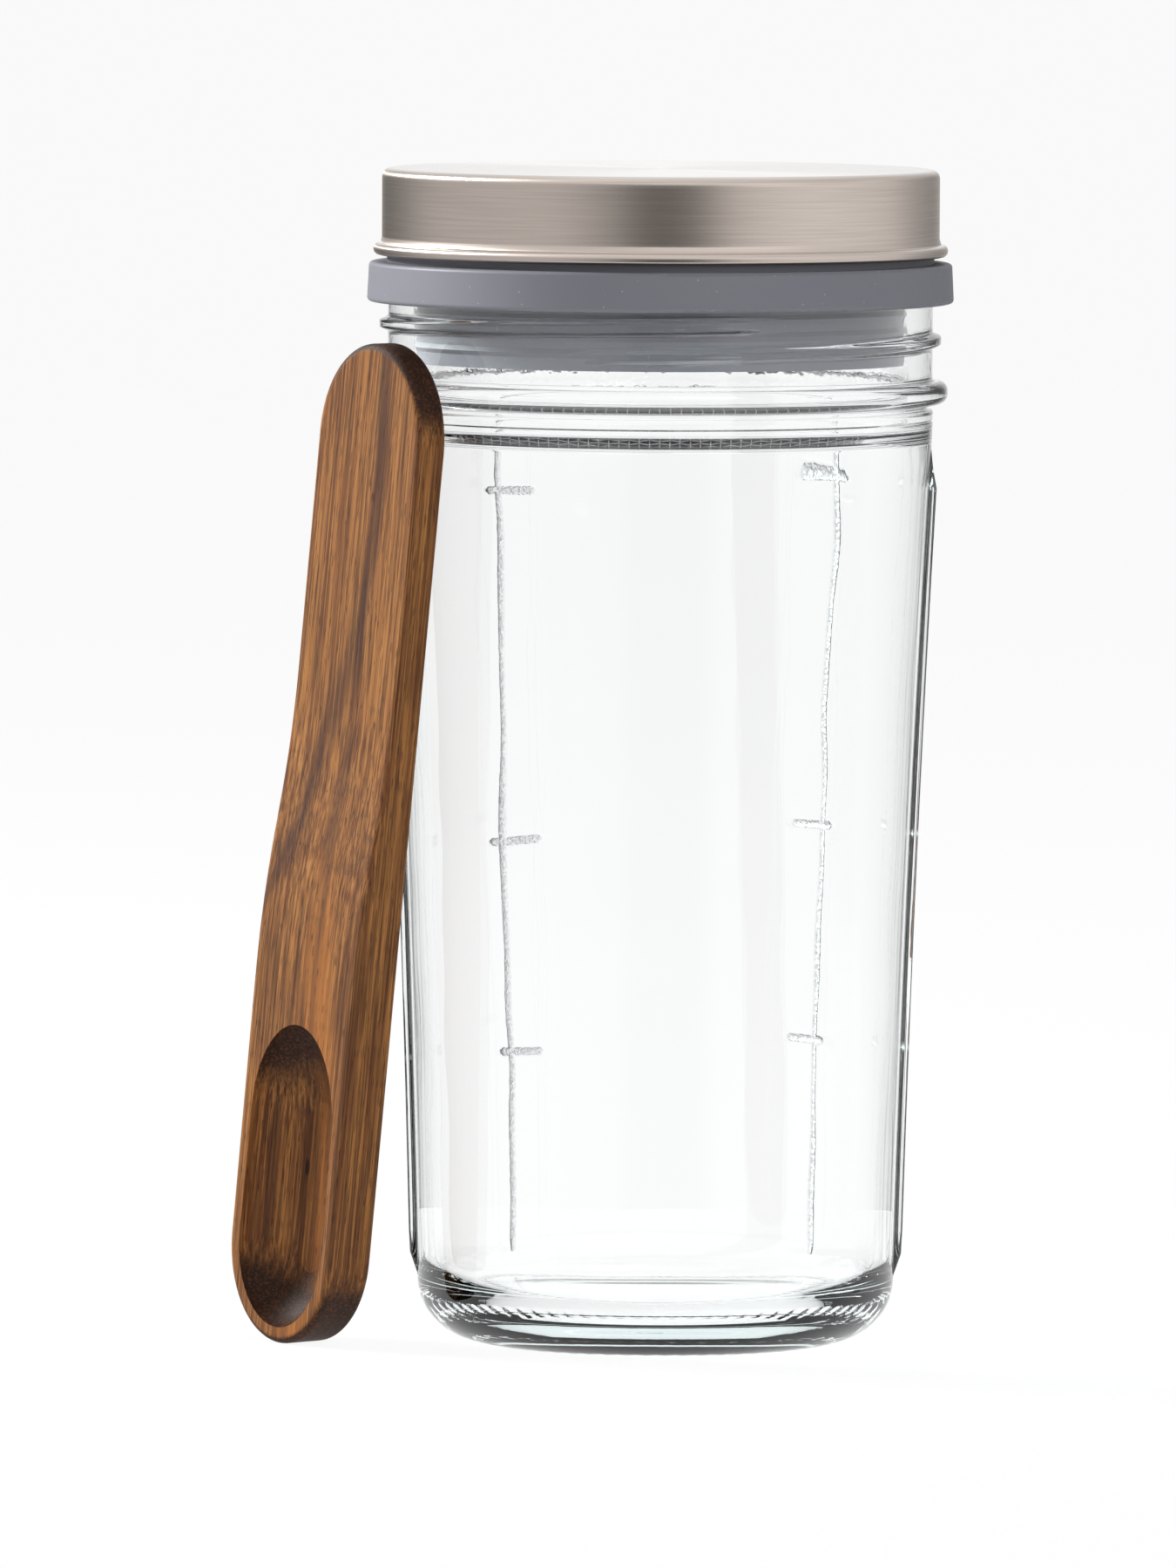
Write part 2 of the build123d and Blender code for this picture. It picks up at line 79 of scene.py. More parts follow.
# %% [markdown]
# Clear soda-lime glass is almost colourless through a thin wall, and turns a pale blue-green where
# light runs a long way inside it, at the silhouettes and in the base. A refracting surface round
# an absorbing volume gives just that. Lamps' shadow rays pass straight through, as light does
# through a thin jar, or else the jar would throw a solid shadow. The fire polish of the neck is
# not quite even, so a fine bump gives it an orange-peel sparkle. The raised scales come from a cut
# in the mould that isn't polished, so they are frosted and pitted. Their grey is painted shade:
# the glass colour in the marks is tinted grey in pits, for the darker light a frosted mark shows.

# %% Pressed clear glass
GLASS_IOR = 1.5
GLASS_DENSITY = 9.0
PEEL_SIZE = 1.6
PIT_SIZE = 0.6
PEEL_LOW = 163.0
PEEL_HIGH = 172.0

glass, tree, output = new_material("Fire-polished soda-lime glass")
place = add(tree, "ShaderNodeTexCoord").outputs["Object"]
height = add(tree, "ShaderNodeSeparateXYZ", {0: place}).outputs["Z"]
neck_share = add(
    tree, "ShaderNodeMapRange",
    {0: height, 1: PEEL_LOW * MM, 2: PEEL_HIGH * MM, 3: 0.03, 4: 0.3},
).outputs[0]
peel = add(tree, "ShaderNodeTexNoise", {"Vector": place, "Scale": 1 / (PEEL_SIZE * MM), "Detail": 1.0})
peel_bump = add(
    tree, "ShaderNodeBump", {"Strength": neck_share, "Distance": 0.05 * MM, "Height": peel.outputs[0]}
)
marked = add(tree, "ShaderNodeAttribute", attribute_name="mark").outputs["Fac"]
frost = add(tree, "ShaderNodeMath", {0: marked, 1: 0.42}, operation="MULTIPLY").outputs[0]
pits = add(tree, "ShaderNodeTexNoise", {"Vector": place, "Scale": 1 / (PIT_SIZE * MM), "Detail": 2.0})
# Painted shade: inside the scale marks the glass colour is tinted grey in pits, standing in for the darker light a
# frosted mark shows.
mark_painted_grey_share = add(
    tree, "ShaderNodeMapRange", {0: pits.outputs[0], 1: 0.35, 2: 0.6, 3: 0.25, 4: 1.0}
).outputs[0]
mark_painted_grey_share = add(tree, "ShaderNodeMath", {0: mark_painted_grey_share, 1: marked}, operation="MULTIPLY").outputs[0]
painted_mark_grey = add(
    tree, "ShaderNodeMix", {0: mark_painted_grey_share, 6: colour("#ffffff"), 7: colour("#8f949a")},
    data_type="RGBA",
).outputs[2]
pit_bump = add(
    tree, "ShaderNodeBump",
    {
        "Strength": marked, "Distance": 0.5 * MM, "Height": pits.outputs[0],
        "Normal": peel_bump.outputs[0],
    },
)
clear = add(
    tree, "ShaderNodeBsdfPrincipled",
    {
        "Base Color": painted_mark_grey, "Roughness": frost, "IOR": GLASS_IOR,
        "Transmission Weight": 1.0, "Normal": pit_bump.outputs[0],
    },
)
passing = add(tree, "ShaderNodeBsdfTransparent", {"Color": colour("#f4f9f8")})
light_path = add(tree, "ShaderNodeLightPath")
surface = add(
    tree, "ShaderNodeMixShader",
    {0: light_path.outputs["Is Shadow Ray"], 1: clear.outputs[0], 2: passing.outputs[0]},
)
depth_tint = add(
    tree, "ShaderNodeVolumeAbsorption", {"Color": colour("#dcf0f2"), "Density": GLASS_DENSITY}
)
tree.links.new(surface.outputs[0], output.inputs["Surface"])
tree.links.new(depth_tint.outputs[0], output.inputs["Volume"])
print("glass keeps", round(exp(-GLASS_DENSITY * (1 - colour("#dcf0f2")[0]) * 0.03), 2), "of red over 30 mm")

# %% [markdown]
# Platinum-cured silicone leaves its mould matte and takes up a little lint. It is a plain cool
# grey with a broad soft highlight, and faint pale specks where dust clings.

# %% Moulded silicone
SPECK_SPACING = 2.2
SPECK_RADIUS = 0.09

silicone, tree, output = new_material("Moulded grey silicone")
place = add(tree, "ShaderNodeTexCoord").outputs["Object"]
specks = add(
    tree, "ShaderNodeTexVoronoi", {"Vector": place, "Scale": 1 / (SPECK_SPACING * MM)}
).outputs["Distance"]
speck_share = add(
    tree, "ShaderNodeMapRange",
    {0: specks, 1: SPECK_RADIUS, 2: SPECK_RADIUS * 0.5, 3: 0.0, 4: 0.35},
).outputs[0]
grey = add(
    tree, "ShaderNodeMix", {0: speck_share, 6: colour("#76777f"), 7: colour("#c9c9cd")},
    data_type="RGBA",
).outputs[2]
rubber = add(
    tree, "ShaderNodeBsdfPrincipled", {"Base Color": grey, "Roughness": 0.5, "IOR": 1.41}
)
tree.links.new(rubber.outputs[0], output.inputs["Surface"])

# %% [markdown]
# The cap is stainless sheet that was drawn and then brushed as it turned, so its scratches run
# round it. Across the scratches a reflection is smeared, so the skirt shows tall soft bands of
# light and dark. Streaks are drawn in a coordinate that is stretched along the way round, and
# the real grit of about 0.1 mm is drawn at 0.35 mm so that it shows. The crown is brushed more
# finely than the skirt, so it is glossier, and where the sheet faces up its colour is painted
# paler, a painted highlight of the bright ceiling.

# %% Brushed steel
BRUSH_PITCH = 0.35
BRUSH_TURN = 2.2


def brushed_steel(name, hex_code, roughness, anisotropy):
    """Steel whose scratches run round the axis."""
    material, tree, output = new_material(name)
    place = add(tree, "ShaderNodeTexCoord").outputs["Object"]
    flat = add(
        tree, "ShaderNodeVectorMath", {0: place, 1: (1, 1, 0)}, operation="MULTIPLY"
    ).outputs[0]
    around = add(tree, "ShaderNodeVectorMath", {0: flat}, operation="NORMALIZE").outputs[0]
    radius = add(tree, "ShaderNodeVectorMath", {0: flat}, operation="LENGTH").outputs["Value"]
    height = add(tree, "ShaderNodeSeparateXYZ", {0: place}).outputs["Z"]
    down_sheet = add(tree, "ShaderNodeMath", {0: radius, 1: height}, operation="SUBTRACT").outputs[0]
    fine = add(
        tree, "ShaderNodeMath", {0: down_sheet, 1: 1 / (BRUSH_PITCH * MM)}, operation="MULTIPLY"
    ).outputs[0]
    line = add(tree, "ShaderNodeCombineXYZ", {"Z": fine}).outputs[0]
    streak_place = add(
        tree, "ShaderNodeVectorMath", {0: around, 1: (BRUSH_TURN,) * 3, 2: line},
        operation="MULTIPLY_ADD",
    ).outputs[0]
    streak = add(
        tree, "ShaderNodeTexNoise", {"Vector": streak_place, "Scale": 1.0, "Detail": 3.0}
    ).outputs[0]
    shade = add(tree, "ShaderNodeMapRange", {0: streak, 1: 0.3, 2: 0.7, 3: 0.86, 4: 1.0}).outputs[0]
    # Painted highlight: where the sheet faces up its colour is made paler, as if it caught the bright ceiling; the
    # same share also lowers the roughness.
    facing = add(tree, "ShaderNodeNewGeometry").outputs["Normal"]
    facing_up = add(tree, "ShaderNodeSeparateXYZ", {0: facing}).outputs["Z"]
    crown_gloss_and_painted_light_share = add(
        tree, "ShaderNodeMapRange", {0: facing_up, 1: 0.7, 2: 1.0, 3: 0.0, 4: 1.0}
    ).outputs[0]
    sheet = add(
        tree, "ShaderNodeMix", {0: crown_gloss_and_painted_light_share, 6: colour(hex_code), 7: colour("#ece8e5")},
        data_type="RGBA",
    ).outputs[2]
    tone = add(
        tree, "ShaderNodeMix", {0: 1.0, 6: sheet, 7: shade}, data_type="RGBA", blend_type="MULTIPLY"
    ).outputs[2]
    gloss = add(
        tree, "ShaderNodeMapRange", {0: crown_gloss_and_painted_light_share, 1: 0.0, 2: 1.0, 3: roughness, 4: roughness * 0.6}
    ).outputs[0]
    bump = add(
        tree, "ShaderNodeBump", {"Strength": 0.25, "Distance": 0.02 * MM, "Height": streak}
    ).outputs[0]
    tangent = add(tree, "ShaderNodeTangent", direction_type="RADIAL", axis="Z").outputs[0]
    metal = add(
        tree, "ShaderNodeBsdfPrincipled",
        {
            "Base Color": tone, "Metallic": 1.0, "Roughness": gloss, "Anisotropic": anisotropy,
            "Tangent": tangent, "Normal": bump,
        },
    )
    tree.links.new(metal.outputs[0], output.inputs["Surface"])
    return material


cap_steel = brushed_steel("Brushed stainless cap steel", "#d0c4bb", 0.27, 0.75)
rim_steel = brushed_steel("Rolled stainless strip", "#b4b4b4", 0.25, 0.3)
wire_steel = brushed_steel("Drawn stainless wire", "#aeaeae", 0.3, 0.0)

# %% [markdown]
# The scoop is one piece of acacia, oiled, with straight grain along it, open pores as short dark
# dashes, and a purple-brown streak that wanders from the tip to the left edge. Its colour is
# worked out in the scoop's own lengths: across it, along it from the foot, and out from its back.
# Where a face cuts across the grain, at the tip and in the ends of the hollow, end grain drinks
# the oil and turns darker. The same mask also paints the shade that falls on the end walls of the
# hollow, so these faces are painted near black.

# %% Oiled acacia
SCOOP_FOOT = Vector((-60.6, -7.4, 0.1))
SCOOP_ALONG = Vector((0.088, -0.105, 0.991)).normalized()
SCOOP_OUT = Vector((-0.766, -0.643, 0.0)).normalized()
SCOOP_ACROSS = SCOOP_ALONG.cross(SCOOP_OUT).normalized()
STREAK_START = 165.0
STREAK_REACH = 22.7
STREAK_POWER = 2.7
STREAK_OFFSET = 3.0
STREAK_HALF_WIDTH = 4.2
SECOND_STREAK = 4.0
KNOT_ACROSS = -3.0
KNOT_ALONG = 30.6
KNOT_PLACE = (KNOT_ACROSS, KNOT_ALONG, 0.0)

acacia, tree, output = new_material("Oiled acacia")
place = add(tree, "ShaderNodeTexCoord").outputs["Object"]
from_foot = add(
    tree, "ShaderNodeVectorMath", {0: place, 1: SCOOP_FOOT * MM}, operation="SUBTRACT"
).outputs[0]
lengths = [
    add(
        tree, "ShaderNodeVectorMath", {0: from_foot, 1: direction / MM}, operation="DOT_PRODUCT"
    ).outputs["Value"]
    for direction in (SCOOP_ACROSS, SCOOP_ALONG, SCOOP_OUT)
]
grain_place = add(tree, "ShaderNodeCombineXYZ", dict(enumerate(lengths))).outputs[0]


def grain(width, length, detail=2.0):
    """Noise that is stretched along the grain: its size across and along the scoop in mm."""
    scaled = add(
        tree, "ShaderNodeVectorMath", {0: grain_place, 1: (1 / width, 1 / length, 1 / width)},
        operation="MULTIPLY",
    ).outputs[0]
    return add(
        tree, "ShaderNodeTexNoise", {"Vector": scaled, "Scale": 1.0, "Detail": detail}
    ).outputs[0]


def mapped(value, low, high, out_low=0.0, out_high=1.0):
    """A value moved smoothly from one range to another."""
    return add(
        tree, "ShaderNodeMapRange", {0: value, 1: low, 2: high, 3: out_low, 4: out_high},
        interpolation_type="SMOOTHSTEP",
    ).outputs[0]


def blended(share, below, above):
    """Two colours mixed by a share."""
    return add(tree, "ShaderNodeMix", {0: share, 6: below, 7: above}, data_type="RGBA").outputs[2]


def arithmetic(operation, first, second):
    """One sum on two values."""
    return add(tree, "ShaderNodeMath", {0: first, 1: second}, operation=operation).outputs[0]


across, along, outwards = lengths
wander = mapped(grain(9, 60), 0.25, 0.75, -2.6, 2.6)
drift = arithmetic("ADD", across, wander)
bands = blended(mapped(grain(1.3, 90), 0.34, 0.66), colour("#6e4220"), colour("#9c6734"))
fibre = blended(mapped(grain(0.3, 16, 3.0), 0.40, 0.62, 0.0, 0.72), bands, colour("#472813"))
pale_fibre = blended(mapped(grain(0.4, 30), 0.5, 0.68, 0.0, 0.45), fibre, colour("#b98146"))
foot_lines = arithmetic("MULTIPLY", mapped(grain(0.8, 50), 0.5, 0.6), mapped(along, 110, 55, 0.0, 0.6))
pale_fibre = blended(foot_lines, pale_fibre, colour("#3a2011"))
right_side = arithmetic(
    "MULTIPLY", mapped(arithmetic("ABSOLUTE", arithmetic("SUBTRACT", drift, 4.5), 0), 5.5, 1.0),
    mapped(along, 105, 62, 0.0, 0.55),
)
warm = blended(right_side, pale_fibre, colour("#b37030"))
fallen = arithmetic("DIVIDE", arithmetic("SUBTRACT", STREAK_START, along), 100.0)
fallen = arithmetic("MAXIMUM", fallen, 0.0)
streak_middle = arithmetic(
    "MULTIPLY", arithmetic("POWER", fallen, STREAK_POWER), -STREAK_REACH
)
streak_middle = arithmetic("ADD", streak_middle, STREAK_OFFSET)
streak_gap = arithmetic("ABSOLUTE", arithmetic("SUBTRACT", drift, streak_middle), 0)
soft_streak = mapped(streak_gap, STREAK_HALF_WIDTH, 0.2, 0.0, 0.72)
streak_lines = mapped(grain(0.7, 40), 0.25, 0.6, 0.55, 1.0)
streak_share = arithmetic(
    "MULTIPLY", arithmetic("MULTIPLY", soft_streak, streak_lines), mapped(along, 60, 84)
)
streaked = blended(streak_share, warm, colour("#3c241b"))
second_gap = arithmetic("ABSOLUTE", arithmetic("SUBTRACT", drift, SECOND_STREAK), 0)
second_share = arithmetic(
    "MULTIPLY", mapped(second_gap, 2.2, 0.2, 0.0, 0.5), mapped(along, 125, 100)
)
streaked = blended(second_share, streaked, colour("#43281c"))
pore_share = mapped(grain(0.2, 3.0, 0.0), 0.66, 0.75, 0.0, 0.6)
pored = blended(pore_share, streaked, colour("#2a160d"))
# End grain and painted shade: faces turned along the grain, such as the end walls of the hollow, are painted near
# black, partly for the oil in end grain and partly for the shade there.
facing = add(tree, "ShaderNodeNewGeometry").outputs["Normal"]
end_amount = add(
    tree, "ShaderNodeVectorMath", {0: facing, 1: SCOOP_ALONG}, operation="DOT_PRODUCT"
).outputs["Value"]
end_grain_and_painted_shade = mapped(arithmetic("ABSOLUTE", end_amount, 0), 0.07, 0.4, 0.0, 0.94)
end_grain_and_shade_colour = blended(mapped(grain(0.5, 0.5, 2.0), 0.45, 0.7), colour("#1c0d07"), colour("#4a2812"))
wood_tone = blended(end_grain_and_painted_shade, pored, end_grain_and_shade_colour)
knot_place = add(
    tree, "ShaderNodeVectorMath", {0: grain_place, 1: KNOT_PLACE}, operation="SUBTRACT"
).outputs[0]
knot_shape = add(
    tree, "ShaderNodeVectorMath", {0: knot_place, 1: (1.1, 0.45, 0.0)}, operation="MULTIPLY"
).outputs[0]
knot_gap = add(tree, "ShaderNodeVectorMath", {0: knot_shape}, operation="LENGTH").outputs["Value"]
wood_tone = blended(mapped(knot_gap, 0.9, 0.45, 0.0, 0.9), wood_tone, colour("#1c0e08"))
wood_bump = add(
    tree, "ShaderNodeBump", {"Strength": 0.25, "Distance": 0.08 * MM, "Height": pore_share},
    invert=True,
).outputs[0]
wood = add(
    tree, "ShaderNodeBsdfPrincipled",
    {"Base Color": wood_tone, "Roughness": 0.62, "IOR": 1.4, "Specular IOR Level": 0.3, "Normal": wood_bump},
)
tree.links.new(wood.outputs[0], output.inputs["Surface"])

# %% [markdown]
# The jar, the cap and the ring were all shaped by turning or in round moulds, so each is a
# section spun about the axis. A section here is a few corners with a radius at each, the way a
# drawing gives it. It is cut into short steps before it is spun, because the relief that comes
# later moves those points.

# %% Sections and turned pieces
def rounded(corners, step):
    """Corners (radius, height, round) as points of a section no further apart than a step."""
    path = [Vector(corners[0][:2])]
    for before, corner, after in zip(corners, corners[1:], corners[2:]):
        point = Vector(corner[:2])
        to_before = (Vector(before[:2]) - point).normalized()
        to_after = (Vector(after[:2]) - point).normalized()
        opening = to_before.angle(to_after)
        if corner[2] <= 0 or opening > pi - 0.02:
            path.append(point)
            continue
        reach = corner[2] / tan(opening / 2)
        centre = point + (to_before + to_after).normalized() * corner[2] / sin(opening / 2)
        first = point + to_before * reach - centre
        turn = first.angle_signed(point + to_after * reach - centre)
        pieces = max(3, round(corner[2] * abs(turn) / step))
        for index in range(pieces + 1):
            angle = -turn * index / pieces
            path.append(centre + Matrix.Rotation(angle, 2) @ first)
    path.append(Vector(corners[-1][:2]))
    points = [path[0]]
    for target in path[1:]:
        start = points[-1].copy()
        pieces = max(1, round((target - start).length / step))
        points += [start.lerp(target, (index + 1) / pieces) for index in range(pieces)]
    return points


def turned(name, section, azimuths, material, body, slot):
    """A piece spun from a section. Both ends are on the axis, or else the section is a loop."""
    to_axis = section[0].x < 1e-6
    rows = section[1:-1] if to_axis else section
    count = len(azimuths)
    points = [
        (row.x * cos(turn) * MM, row.x * sin(turn) * MM, row.y * MM)
        for row in rows for turn in azimuths
    ]
    faces = []
    for low in range(len(rows) - (1 if to_axis else 0)):
        high = (low + 1) % len(rows)
        for index in range(count):
            beside = (index + 1) % count
            faces.append((low * count + index, low * count + beside, high * count + beside, high * count + index))
    if to_axis:
        points += [(0, 0, section[0].y * MM), (0, 0, section[-1].y * MM)]
        last = (len(rows) - 1) * count
        for index in range(count):
            beside = (index + 1) % count
            faces.append((len(points) - 2, beside, index))
            faces.append((len(points) - 1, last + index, last + beside))
    mesh = bpy.data.meshes.new(name)
    mesh.from_pydata(points, [], faces)
    mesh.shade_smooth()
    mesh.materials.append(material)
    piece = bpy.data.objects.new(name, mesh)
    bpy.context.scene.collection.objects.link(piece)
    print(name, len(points), "points", len(faces), "faces")
    return piece


def place_piece(piece, body, slot, *nodes):
    """Let a finished piece ride on its body, and hide its CAD nodes. The slot is not used."""
    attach(piece, body)
    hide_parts(*nodes)


# %% [markdown]
# A pressed jar's side wall tapers and bows in a little. Its outside has a heel, a crease, a
# shoulder, a transfer bead and a neck. Its inside is a plain bore that widens under the neck. The
# columns of the mesh are even all round for the flutes of the base, and closer together where a
# rib or an upright scale line stands, because only points that exist can be raised.

# %% The jar's section
RIM = 186.5
BEAD = 168.3
BEAD_HALF = 2.0
BEAD_RADIUS = 50.9
NECK = 48.2
GROOVE = 47.3
CREASE = 162.9
SHOULDER = 165.3
WALL_TOP = 48.3
WALL_FOOT = 42.25
WALL_BOW = 0.6
WALL = 3.0
HEEL = 10.7
RING_IN = 29.6
RING_OUT = 31.55
PUNT = 3.0
FLOOR = 7.0
BORE = 43.8
INNER_SHOULDER = 162.1
BORE_SPREAD = 160.6
INNER_CORNER = 8.0
SIDE_STEP = 4.0
TICKS_LEFT = (47.7, 85.7, 148.5)
TICKS_RIGHT = (50.5, 89.0, 151.2)
SCALE_LEFT = 130.1
SCALE_RIGHT = 45.3
TICK_INSIDE = 9.5
TICK_OUTSIDE = 2.6
MARK_WIDTH = 1.25


def wall_at(z):
    """Outer radius of the side wall."""
    share = (z - HEEL) / (CREASE - HEEL)
    return WALL_FOOT + share * (WALL_TOP - WALL_FOOT) - 4 * WALL_BOW * share * (1 - share)


def close_rows(low, high):
    """Heights up the wall, close together at each tick."""
    heights = {low, high}
    steps = round((high - low) / SIDE_STEP)
    heights |= {low + (high - low) * index / steps for index in range(steps)}
    for tick in TICKS_LEFT + TICKS_RIGHT:
        heights |= {tick + 0.24 * index for index in range(-5, 6)}
    kept = [low]
    for z in sorted(heights):
        if z - kept[-1] > 0.15 and z <= high:
            kept.append(z)
    return kept


punt = [Vector((RING_IN * share, PUNT * (1 - share**2))) for share in (0, 0.15, 0.35, 0.55, 0.75, 0.9)]
base = rounded([(RING_IN, 0, 0), (RING_OUT, 0, 0), (WALL_FOOT, 0, HEEL), (WALL_FOOT, HEEL, 0)], 0.5)
side = [Vector((wall_at(z), z)) for z in close_rows(HEEL + 0.5, CREASE - 0.4)]
neck = rounded(
    [
        (WALL_TOP, CREASE, 0), (WALL_TOP - 0.2, CREASE + 0.35, 0.2), (WALL_TOP, CREASE + 0.7, 0.2),
        (WALL_TOP, SHOULDER, 0.6), (GROOVE, SHOULDER, 0.2), (GROOVE, BEAD - BEAD_HALF, 0.2),
        (BEAD_RADIUS, BEAD - BEAD_HALF, 1.7), (BEAD_RADIUS, BEAD + BEAD_HALF, 1.7),
        (NECK, BEAD + BEAD_HALF, 0.5), (NECK, RIM, 1.0), (BORE, RIM, 1.0),
    ],
    0.3,
)
outside_rows = len(punt) + len(base) + len(side) + len(neck)
bore = rounded([(BORE, RIM - 1.0, 0), (BORE, INNER_SHOULDER, 1.5), (wall_at(BORE_SPREAD) - WALL, BORE_SPREAD - 1, 0)], 1.6)
inner_low = FLOOR + INNER_CORNER
inner_count = 36
inner = [
    Vector((wall_at(z) - WALL, z))
    for z in (BORE_SPREAD - 1.4 - (BORE_SPREAD - 1.4 - inner_low) * index / inner_count
              for index in range(inner_count + 1))
]
floor_edge = wall_at(inner_low) - WALL
corner = [
    Vector((
        floor_edge - INNER_CORNER * (1 - cos(radians(angle))),
        inner_low - INNER_CORNER * sin(radians(angle)),
    ))
    for angle in (10, 20, 30, 40, 50, 60, 70, 80, 90)
]
flat_floor = [Vector((radius, FLOOR)) for radius in (26, 20, 14, 8, 4, 0)]
jar_section = punt + base + side + neck + bore + inner + corner + flat_floor

turns = {360 * index / 256 for index in range(256)}
for centre in (SCALE_LEFT, SCALE_RIGHT):
    turns |= {centre + 0.3 * index for index in range(-6, 7)}
    for edge in (centre - TICK_INSIDE, centre + TICK_INSIDE, centre - TICK_OUTSIDE, centre + TICK_OUTSIDE):
        turns |= {edge + 0.35 * index for index in range(-2, 3)}
for centre in (0, 180):
    turns |= {(centre + side_way * (2.2 + 0.3 * index)) % 360 for index in range(7) for side_way in (-1, 1)}
jar_azimuths = [0.0]
for turn in sorted(turns):
    if turn - jar_azimuths[-1] > 0.14:
        jar_azimuths.append(turn)
jar_azimuths = [radians(turn) for turn in jar_azimuths]

jar = turned("clear_jar", jar_section, jar_azimuths, glass, "jar", "pressed_glass")
outside = jar.data.attributes.new("outside", "FLOAT", "POINT")
outside_points = (outside_rows - 1) * len(jar_azimuths)
for index in range(outside_points):
    outside.data[index].value = 1.0
print("rows", len(jar_section), "columns", len(jar_azimuths))

# %% [markdown]
# Relief that follows a rule is made by Geometry Nodes: each tree moves the jar's points out from
# the axis, or up, by a height that it works out. The trees share one beginning and one end, and
# each is applied and turned into a plain mesh before the next.

# %% A tree that raises the surface
def relief_tree(name, sizes):
    """A tree with named sizes. Returns it and its input."""
    made = bpy.data.node_groups.new(name, "GeometryNodeTree")
    made.interface.new_socket("Geometry", in_out="INPUT", socket_type="NodeSocketGeometry")
    for size in sizes:
        made.interface.new_socket(size, in_out="INPUT", socket_type="NodeSocketFloat")
    made.interface.new_socket("Geometry", in_out="OUTPUT", socket_type="NodeSocketGeometry")
    return made, add(made, "NodeGroupInput")


def end_tree(made, geometry, material):
    """Close a tree with plain geometry in one material."""
    real = add(made, "GeometryNodeRealizeInstances", {0: geometry}).outputs[0]
    painted = add(made, "GeometryNodeSetMaterial", {"Geometry": real, "Material": material}).outputs[0]
    add(made, "NodeGroupOutput", {0: painted})


def run_tree(piece, made, sizes):
    """Apply a tree to a piece with its sizes and keep the plain mesh."""
    modifier = piece.modifiers.new(made.name, "NODES")
    modifier.node_group = made
    for socket in made.interface.items_tree:
        if socket.in_out == "INPUT" and socket.name in sizes:
            modifier[socket.identifier] = float(sizes[socket.name])
    shown = piece.evaluated_get(bpy.context.evaluated_depsgraph_get())
    result = bpy.data.meshes.new_from_object(shown)
    piece.modifiers.remove(modifier)
    piece.data = result
    result.shade_smooth()
    print(made.name, "gives", len(result.polygons), "faces")


def raise_surface(made, start, amount):
    """Move points out from the axis by an amount."""
    place = add(made, "GeometryNodeInputPosition").outputs[0]
    flat = add(made, "ShaderNodeVectorMath", {0: place, 1: (1, 1, 0)}, operation="MULTIPLY").outputs[0]
    way = add(made, "ShaderNodeVectorMath", {0: flat}, operation="NORMALIZE").outputs[0]
    offset = add(made, "ShaderNodeVectorMath", {0: way, "Scale": amount}, operation="SCALE").outputs[0]
    return add(
        made, "GeometryNodeSetPosition", {"Geometry": start.outputs[0], "Offset": offset}
    ).outputs[0]


def outside_share(made):
    """One outside the wall, and nothing inside it."""
    return add(made, "GeometryNodeInputNamedAttribute", {"Name": "outside"}, data_type="FLOAT").outputs[0]


# %% [markdown]
# Two ribs run up the sides of the jar, so that wet hands can hold it. Each fades slowly at its
# top and quickly at its foot.

# %% Side ribs
made, start = relief_tree("Side ribs", ("Rise", "Half width", "Edge", "Low", "High", "Foot", "Top"))
place = add(made, "ShaderNodeSeparateXYZ", {0: add(made, "GeometryNodeInputPosition").outputs[0]})
off_line = add(made, "ShaderNodeMath", {0: place.outputs["Y"]}, operation="ABSOLUTE").outputs[0]
inner_edge = add(
    made, "ShaderNodeMath", {0: start.outputs["Half width"], 1: start.outputs["Edge"]},
    operation="SUBTRACT",
).outputs[0]
across_share = add(
    made, "ShaderNodeMapRange", {0: off_line, 1: start.outputs["Half width"], 2: inner_edge, 3: 0.0, 4: 1.0},
    interpolation_type="SMOOTHSTEP",
).outputs[0]
foot_end = add(
    made, "ShaderNodeMath", {0: start.outputs["Low"], 1: start.outputs["Foot"]}, operation="ADD"
).outputs[0]
top_start = add(
    made, "ShaderNodeMath", {0: start.outputs["High"], 1: start.outputs["Top"]}, operation="SUBTRACT"
).outputs[0]
foot_share = add(
    made, "ShaderNodeMapRange", {0: place.outputs["Z"], 1: start.outputs["Low"], 2: foot_end, 3: 0.0, 4: 1.0}
).outputs[0]
top_share = add(
    made, "ShaderNodeMapRange", {0: place.outputs["Z"], 1: start.outputs["High"], 2: top_start, 3: 0.0, 4: 1.0}
).outputs[0]
amount = start.outputs["Rise"]
for share in (across_share, foot_share, top_share, outside_share(made)):
    amount = add(made, "ShaderNodeMath", {0: amount, 1: share}, operation="MULTIPLY").outputs[0]
end_tree(made, raise_surface(made, start, amount), glass)
run_tree(jar, made, {
    "Rise": 1.4 * MM, "Half width": 3.0 * MM, "Edge": 0.8 * MM, "Low": (HEEL + 3) * MM,
    "High": (CREASE - 5.8) * MM, "Foot": 1.6 * MM, "Top": 5.8 * MM,
})

# %% [markdown]
# The scales on the back are raised lines, cut in the mould with a round cutter, so their ends and
# edges are soft. They are drawn as bare edges on the wall, and the tree raises every point by how
# near it is to one of them.

# %% Raised scales
MARK_RISE = 0.42
MARK_LOW = HEEL + 1.0
MARK_HIGH = CREASE - 1.6


def on_wall(azimuth, z):
    """A point of the outer wall."""
    turn = radians(azimuth)
    return (wall_at(z) * cos(turn) * MM, wall_at(z) * sin(turn) * MM, z * MM)


